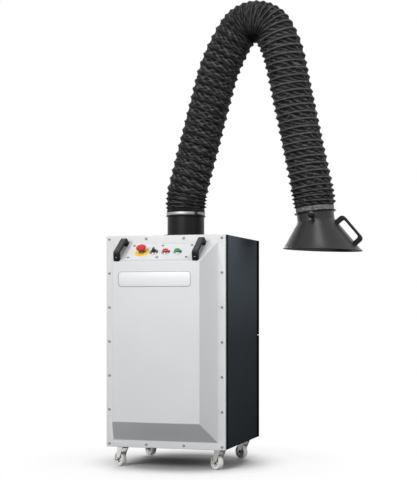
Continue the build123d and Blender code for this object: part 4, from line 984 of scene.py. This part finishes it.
class EXTRACTOR_OT_casters(bpy.types.Operator):
    """Make the four nylon wheels and the ends of their axles"""
    bl_idname = "extractor.casters"
    bl_label = "Caster wheels"

    def execute(self, context):
        half = mm((4.25, 11.5), (8.5, 11.5), (9.2, 10.8), (9.8, 4.5), (11.2, 3.7), (20.5, 3.7), (22.2, 4.6),
                  (22.8, 10.5), (23.6, 11.5), (27.2, 11.5), (28.8, 10), (29.7, 7), (30, 3))
        profile = [(r, -h) for r, h in half] + half[::-1]
        nut = mm((0, 19), (6.8, 19), (6.8, 24.6), (4, 25), (4, 30), (0, 30.6))
        for name, (x, y) in caster_axes.items():
            centre = Vector((x, y, wheel_radius)) + wheel_across * wheel_trail
            across = wheel_across.normalized()
            place = axes_frame(centre, across, wheel_axle.cross(across), wheel_axle)
            turned(f"{name}_nylon_wheel", profile, place, "wheel_nylon", f"{name}_wheel",
                   f"{name}_caster_wheel", steps=72)
            turned(f"{name}_axle_end", nut, place, "galvanised", f"{name}_fork", steps=24)
        return {"FINISHED"}


def clamp_housing():
    """Housing of the worm, and the worm's head."""
    out = round_the_axis(housing_turn, 1)
    side = UP.cross(out)
    origin = UP * clamp_height + out * housing_radius
    outline = rounded(rectangle(-0.011, -0.0058, 0.011, 0.0058), 0.002)
    housing = prism(outline, axes_frame(origin, side, UP, side.cross(UP)), -0.001, 0.0058, 0.0014, 3)
    head = mm((0, 0), (4.2, 0), (4.2, 4), (3.6, 4.6), (0, 4.6))
    return housing, lathe(head, axes_frame(origin + out * 0.0026 - side * 0.0105, out, UP, -side), 6)


def strap_end(centre):
    """End of the strap, which lies on the band beside the housing; its black finish is painted shade."""
    section = rectangle(0.0831, -0.0062, 0.0858, 0.0062)
    corners = []
    for angle in even(*strap_turns, 8):
        corners += [round_the_axis(angle, radius, height) for radius, height in section]
    faces = skin(9, 4) + [(0, 1, 2, 3), (32, 33, 34, 35)]
    return closed_mesh(corners, faces, 0.0003, 2, place=centre)


class EXTRACTOR_OT_clamp(bpy.types.Operator):
    """Make the band clamp at the foot of the hose, the end of its strap and the lip of the cuff"""
    bl_idname = "extractor.clamp"
    bl_label = "Hose clamp"

    def execute(self, context):
        centre = Matrix.Translation((0, 0, clamp_height))
        edge, low, high = clamp_outer - 0.0003, -clamp_half, clamp_half
        band = [(clamp_inner, low), (edge, low), (clamp_outer, low + 0.0006), (clamp_outer, high - 0.0006),
                (edge, high), (clamp_inner, high)]
        meshes = [lathe(band, centre, 128), *clamp_housing()]
        joined("hose_band_clamp", meshes, "clamp_steel", "turret", "hose_clamp")
        # The strap end is black as painted shade
        joined("clamp_strap_end", [strap_end(centre)], "control_black", "turret")
        lip = mm((79, -1.2)) + arc_profile((0.0826, 0), 0.0026, -90, 90, 8) + mm((79, 1.2))
        place = Matrix.Translation((0, 0, lip_height)) @ Matrix.Rotation(lip_tilt, 4, "Y")
        turned("hose_cuff_lip", lip, place, "collar_black", "turret", steps=96)
        return {"FINISHED"}


def hose_segments():
    """Runs and bends of the centre line: length, radius and turn in radians."""
    bends = [(length, radius, math.radians(turn)) for length, radius, turn in hose_runs]
    return [(length or radius * turn, radius, turn) for length, radius, turn in bends]


def leaning(angle):
    """Directions along a line that leans to the right from straight up, and beside it."""
    return Vector((math.sin(angle), 0, math.cos(angle))), Vector((math.cos(angle), 0, -math.sin(angle)))


def hose_line(distance):
    """Point of the centre line and its direction."""
    point = UP * hose_foot
    heading = 0.0
    segments = hose_segments()
    for index, (length, radius, turn) in enumerate(segments):
        step = distance if index == len(segments) - 1 else min(distance, length)
        along, side = leaning(heading)
        if radius:
            heading += turn * step / length
            point = point + (side - leaning(heading)[1]) * radius
        else:
            point = point + along * step
        distance -= step
        if distance <= 0:
            break
    return point, leaning(heading)[0]


def hose_marks():
    """Distances where the foot ribs, ribs, elbow, second leg, squeezed ribs and cuff start, and the end."""
    lengths = [segment[0] for segment in hose_segments()]
    total = sum(lengths)
    cuff = total - hose_end_cuff
    elbow, after = sum(lengths[:4]), sum(lengths[:5])
    return hose_cuff, hose_cuff + foot_run, elbow, after, cuff - squeezed_run, cuff, total


def rib_zones():
    """Start, end and number of ribs of each stretch of the hose."""
    marks = hose_marks()
    return list(zip(marks, marks[1:], rib_counts))


def rib_place(distance):
    """Number of ribs from the foot to a distance, as a number that grows smoothly."""
    done = 0.0
    for low, high, count in rib_zones():
        if distance <= high:
            return done + count * max(0.0, distance - low) / (high - low)
        done += count
    return done


def valley_distance(number):
    """Distance of a valley between ribs."""
    for low, high, count in rib_zones():
        if number <= count:
            return low + (high - low) * number / count
        number -= count
    return hose_marks()[5]


def share(value, low, high):
    """How far a value is from low to high, from 0 to 1."""
    return min(1.0, max(0.0, (value - low) / (high - low)))


def band_folds(band):
    """Folds round one band of cloth: how many, their slant and where they start."""
    chance = random.Random(band)
    at_foot = band < rib_counts[0]
    count = (8 if at_foot else 11) + chance.randrange(4)
    slant = count * ((1.3 if at_foot else 0.7) + 0.4 * chance.random())
    return count, slant, chance.random() * 2 * math.pi


cloth_folds = [band_folds(band) for band in range(sum(rib_counts) + 2)]


def hose_wall(distance, angle, down, sizes):
    """Outer radius of the hose, and how much it is crest, fold, shadow under a crest, and cuff."""
    start, _, elbow, after, squeeze, end, _ = hose_marks()
    if distance < start:
        return hose_cuff_radius, 0.0, 0.0, 0.0, 0.0
    around = round_the_axis(angle, 1)

    def uneven(stretch, along, x=0, y=0):
        """Noise over the hose: a larger stretch is finer round it, a larger number finer along it."""
        return noise.noise(around * stretch + Vector((x, y, along)))

    if distance > end:
        return sizes.valley + 0.0006 * uneven(4.0, distance * 60), 0.0, 0.0, 0.0, 1.0
    turns = rib_place(distance) + angle / (2 * math.pi)
    place = turns - math.floor(turns)
    rise = 1 - abs(2 * place - 1)
    fade = min(1.0, (distance - start) / fade_run, (end - distance) / fade_run)
    fade = fade * fade * (3 - 2 * fade)
    upper = share(distance, elbow, after)
    wide = share(distance, squeeze - widening_run, squeeze)
    bent = share(distance, elbow - elbow_blend, elbow + elbow_blend)
    bent *= 1 - share(distance, after - elbow_blend, after + elbow_blend)

    # The cloth hangs slack between the wires, in folds, crossing folds and streaks
    between = (place + 0.5) % 1.0
    slack = math.sin(math.pi * between) ** 0.7 * fade * (1 - 0.30 * bent)
    count, slant, phase = cloth_folds[max(0, math.floor(turns + 0.5))]
    drift = uneven(1.6, distance * 9, 3, 5)
    fold = count * angle + slant * between + phase + drift * 3.0
    ridge = (1 - abs(math.sin(fold * 0.5))) ** 2.0
    other = count * angle - slant * 1.2 * between + 2 * phase + drift * 2.0
    cross = (1 - abs(math.sin(other * 0.5))) ** 2.0 * (1 - upper)
    lean = uneven(1.5, distance * 14) * 1.5
    streak = (1 - min(1.0, abs(uneven(2.0, distance * 100 + lean)) * 4.5)) ** 1.2
    swell = (0.85 + 0.15 * upper) * ridge + 0.60 * cross + (0.60 + 0.30 * bent) * streak

    # The wire lifts it, more near the hood, and the valleys lie further out in the elbow
    height = sizes.crest - sizes.valley + 0.0030 - 0.0008 * upper + 0.0025 * wide
    lift = rise ** 1.7 * fade * (1 - 0.30 * bent)
    radius = sizes.valley + height * lift + 0.0020 * bent
    radius += sizes.crease * slack * (swell - 0.45)
    radius += uneven(1.2, distance * 9) * 0.0008 * fade

    # The crest's lighter line of wear and painted highlight is broken on the lower leg
    broken = 0.5 + 0.5 * uneven(3.0, distance * 30, 7)
    crest = rise ** 2.2 * fade * (1.0 - (1.0 - upper) * (0.20 + 0.50 * broken))
    # Painted shadow on the lower side of each crest, for the hose's colour
    below = (place - 0.5) * down
    under = max(0.0, 1 - abs(below - 0.17) / 0.14) * fade
    return radius, crest, min(1.0, swell * slack), under * (1 - 0.5 * swell), 0.0


def ring_distances(start, end, sizes):
    """Distances of the rings of the mesh."""
    foot, *_, cuff, _ = hose_marks()
    low, high = rib_place(start), rib_place(end)
    places = even(low, high, max(1, round((high - low) * sizes.along)))
    if start < foot:
        stops = even(0, foot, foot_rings)[:-1]
    else:
        stops = [start]
        places = places[1:]
    stops += [valley_distance(place) for place in places]
    if end > cuff:
        stops += even(cuff, end, cuff_rings)[1:]
    return stops


def hose_piece(name, start, end, sizes):
    """A tube with ribs and creases outside and a plain bore."""
    stops = ring_distances(start, end, sizes)
    inner_stops = stops[::3] + ([stops[-1]] if (len(stops) - 1) % 3 else [])
    rings = [(stop, True) for stop in stops] + [(stop, False) for stop in reversed(inner_stops)]
    steps = sizes.around
    first = -FRONT
    corners, marks, cloth = [], [], []
    for distance, outside in rings:
        point, direction = hose_line(distance)
        second = direction.cross(first)
        bore = socket_radius if distance < socket_depth else sizes.bore
        for angle in whole_turn(steps):
            radius, *values = bore, 0, 0, 0, 0
            if outside:
                radius, *values = hose_wall(distance, angle, -direction.z, sizes)
            turn = first * math.cos(angle) + second * math.sin(angle)
            corners.append(tuple(point + turn * radius))
            marks.append(values)
            cloth.extend(round_the_axis(angle, 0.08 if outside else 0.07, distance))
    mesh = bpy.data.meshes.new(name)
    mesh.from_pydata(corners, [], skin(len(rings), steps, True))
    mesh.update()
    work = bmesh.new()
    work.from_mesh(mesh)
    bmesh.ops.recalc_face_normals(work, faces=work.faces)
    work.to_mesh(mesh)
    work.free()
    for label, values in zip(("crest", "fold", "under", "cuff"), zip(*marks)):
        mesh.attributes.new(label, "FLOAT", "POINT").data.foreach_set("value", values)
    mesh.attributes.new("cloth", "FLOAT_VECTOR", "POINT").data.foreach_set("vector", cloth)
    return new_piece(name, mesh, "hose_black", 75.0)


class EXTRACTOR_OT_hose(bpy.types.Operator):
    """Make the ribbed hose in three pieces"""
    bl_idname = "extractor.hose"
    bl_label = "Hose"

    def execute(self, context):
        _, _, elbow, after, _, cuff, last = hose_marks()
        first = valley_distance(lower_ribs)
        second = valley_distance(sum(rib_counts) - upper_ribs)
        sizes = context.scene.extractor_hose
        pieces = (
            ("lower", 0.0, first, "turret", "lower_arm", *shoulder_bend),
            ("middle", first, second, "lower_arm", "upper_arm", elbow - elbow_reach, after + elbow_reach),
            ("upper", second, last, "upper_arm", "wrist", cuff - wrist_reach, cuff),
        )
        for name, start, end, below, above, low, high in pieces:
            piece = hose_piece(f"hose_{name}_cloth", start, end, sizes)
            tuple(hose_line(low)[0])
            tuple(hose_line(high)[0])
            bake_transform(piece)
            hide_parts(f"hose_{name}")
        return {"FINISHED"}


def rim_depth(angle):
    """Depth at which the cone's outside meets the oblique mouth, at an angle round the axis."""
    tilt = (rim_right.y - rim_left.y) / (rim_right.x - rim_left.x)
    middle = rim_left.y - tilt * rim_left.x
    start = neck_radius - neck_length * cone_slope
    cosine = math.cos(angle)
    return (middle + tilt * start * cosine) / (1 - tilt * cone_slope * cosine)


def hood_shell(steps):
    """Neck, cone and rolled mouth, as one closed skin."""
    cosine = 1 / math.sqrt(1 + cone_slope ** 2)
    along = Vector((cone_slope * cosine, cosine))
    out = Vector((cosine, -cone_slope * cosine))
    corner = Vector((neck_radius, neck_length))
    neck = [Vector((neck_radius, neck_top)), Vector((neck_radius, neck_length * 0.35))]
    bend = curve(corner - Vector((0, cone_bend)), corner, corner + along * cone_bend, 8)
    wall = Vector((neck_wall, 0))
    corners = []
    for angle in whole_turn(steps):
        length = (rim_depth(angle) - neck_length) / cosine
        centre = corner + along * (length - rim_bead)
        straight = length - cone_bend
        cone = [corner + along * (cone_bend + straight * reach) for reach in (0.25, 0.5, 0.75, 0.9)]
        turns = [math.radians(turn) for turn in even(150, -110, 12)]
        roll = [centre + (out * math.sin(turn) + along * -math.cos(turn)) * rim_bead for turn in turns]
        inner = [point - out * neck_wall for point in reversed(cone)]
        inner += [point - wall for point in reversed(neck + bend)]
        profile = neck + bend + cone + roll + inner
        corners += [hood_frame @ round_the_axis(angle, radius, depth) for radius, depth in profile]
    return closed_mesh(corners, skin(steps, len(profile), True))


def hood_spider():
    """Bar across the neck and the bush on it."""
    half = 0.008
    reach = math.degrees(math.asin(half / neck_inner))
    outline = arc_profile((0, 0), neck_inner, -reach, reach, 6)
    outline += arc_profile((0, 0), neck_inner, 180 - reach, 180 + reach, 6)
    bush = mm((6.3, -16), (10.4, -16), (11, -15.4), (11, -3.6), (10.4, -3), (6.3, -3))
    return prism(outline, hood_frame, -0.012, -0.007, 0.0008, 2), lathe(bush, hood_frame, 48)


def damper_boss():
    """Boss on the neck for the damper's shaft."""
    bore, radius, edge = 0.0044, 0.0090, 0.0004
    low, high = neck_middle, neck_middle + knob_gap
    profile = [(bore, low), (radius, low), (radius, high - edge), (radius - edge, high), (bore, high)]
    return lathe(profile, damper_frame, 48)


def add_bead_ring():
    inner, outer, height = neck_radius + 0.0003, 0.087, 0.006
    half = height / 2
    bead = arc_profile((outer - half, half), half, -90, 90, 8)
    profile = [(inner, 0), (outer - half, 0)] + bead + [(inner, height)]
    turned("neck_bead_ring", profile, hood_frame, "collar_black", "hood", "hood_ring", steps=128)


def add_hood_handle():
    along, out = leaning(math.atan(cone_slope))
    local = axes_frame(Vector((neck_radius, 0, neck_length)), along, out, along.cross(out))
    foot = -1.2
    outer = rounded(mm((10, foot), (10, 38), (146, 38), (146, foot)), [0, 0.020, 0.020, 0], 10)
    inner = rounded(mm((30, foot), (30, 27.5), (126, 27.5), (126, foot)), [0, 0.011, 0.011, 0], 10)
    handle = bow(outer, inner, hood_frame @ local)
    joined("hood_bow_handle", [handle], "handle_black", "hood", "hood_handle")


def add_damper_knob():
    low = neck_middle + knob_gap + 0.0003
    grip = arc_profile((0.0030, low + 0.0085), 0.0100, -50, 75, 14)
    profile = [(0.004, low), (0.0080, low)] + grip
    profile += [(0, low + 0.0180), (0, low + 0.009), (0.004, low + 0.009)]
    knob = turned("damper_turning_knob", profile, damper_frame, "handle_black", "damper", "damper_knob")
    # Its top is lighter than the handles': dust together with painted light from above
    black = record_colour("handle_black", 0.35)
    moulded("extractor_worn_knob", black, 0.48, 900.0, 0.00025, 1.0, 0.10, 0.30)
    knob.data.materials[0] = bpy.data.materials["extractor_worn_knob"]


class EXTRACTOR_OT_hood(bpy.types.Operator):
    """Make the spun hood with its rolled mouth, the spider, the bead ring, the handle and the damper knob"""
    bl_idname = "extractor.hood"
    bl_label = "Hood"

    def execute(self, context):
        joined("hood_spun", [hood_shell(144), *hood_spider(), damper_boss()], "hood_dark", "hood", "hood")
        add_bead_ring()
        add_hood_handle()
        add_damper_knob()
        return {"FINISHED"}


class EXTRACTOR_PT_panel(bpy.types.Panel):
    """Buttons for the extractor's pieces"""
    bl_idname = "EXTRACTOR_PT_panel"
    bl_label = "Fume extractor"
    bl_space_type = "VIEW_3D"
    bl_region_type = "UI"
    bl_category = "Extractor"

    def draw(self, context):
        for operator in OPERATORS:
            self.layout.operator(operator.bl_idname)
        for name, group in GROUPS.items():
            box = self.layout.box()
            for size in group.__annotations__:
                box.prop(getattr(context.scene, name), size)


GROUPS = {
    "extractor_colours": ExtractorColours,
    "extractor_hose": ExtractorHose,
    "extractor_cover": ExtractorCover,
    "extractor_light": ExtractorLight,
}
OPERATORS = (
    EXTRACTOR_OT_stage,
    EXTRACTOR_OT_finishes,
    EXTRACTOR_OT_cover,
    EXTRACTOR_OT_plate,
    EXTRACTOR_OT_screws,
    EXTRACTOR_OT_handles,
    EXTRACTOR_OT_controls,
    EXTRACTOR_OT_casters,
    EXTRACTOR_OT_clamp,
    EXTRACTOR_OT_hose,
    EXTRACTOR_OT_hood,
)


def register():
    for name, group in GROUPS.items():
        bpy.utils.register_class(group)
        setattr(bpy.types.Scene, name, PointerProperty(type=group))
    for operator in OPERATORS:
        bpy.utils.register_class(operator)
    bpy.utils.register_class(EXTRACTOR_PT_panel)


def unregister():
    bpy.utils.unregister_class(EXTRACTOR_PT_panel)
    for operator in reversed(OPERATORS):
        bpy.utils.unregister_class(operator)
    for name, group in reversed(GROUPS.items()):
        delattr(bpy.types.Scene, name)
        bpy.utils.unregister_class(group)


def main():
    register()
    for operator in OPERATORS:
        group, name = operator.bl_idname.split(".")
        getattr(getattr(bpy.ops, group), name)()


if __name__ == "__main__":
    main()
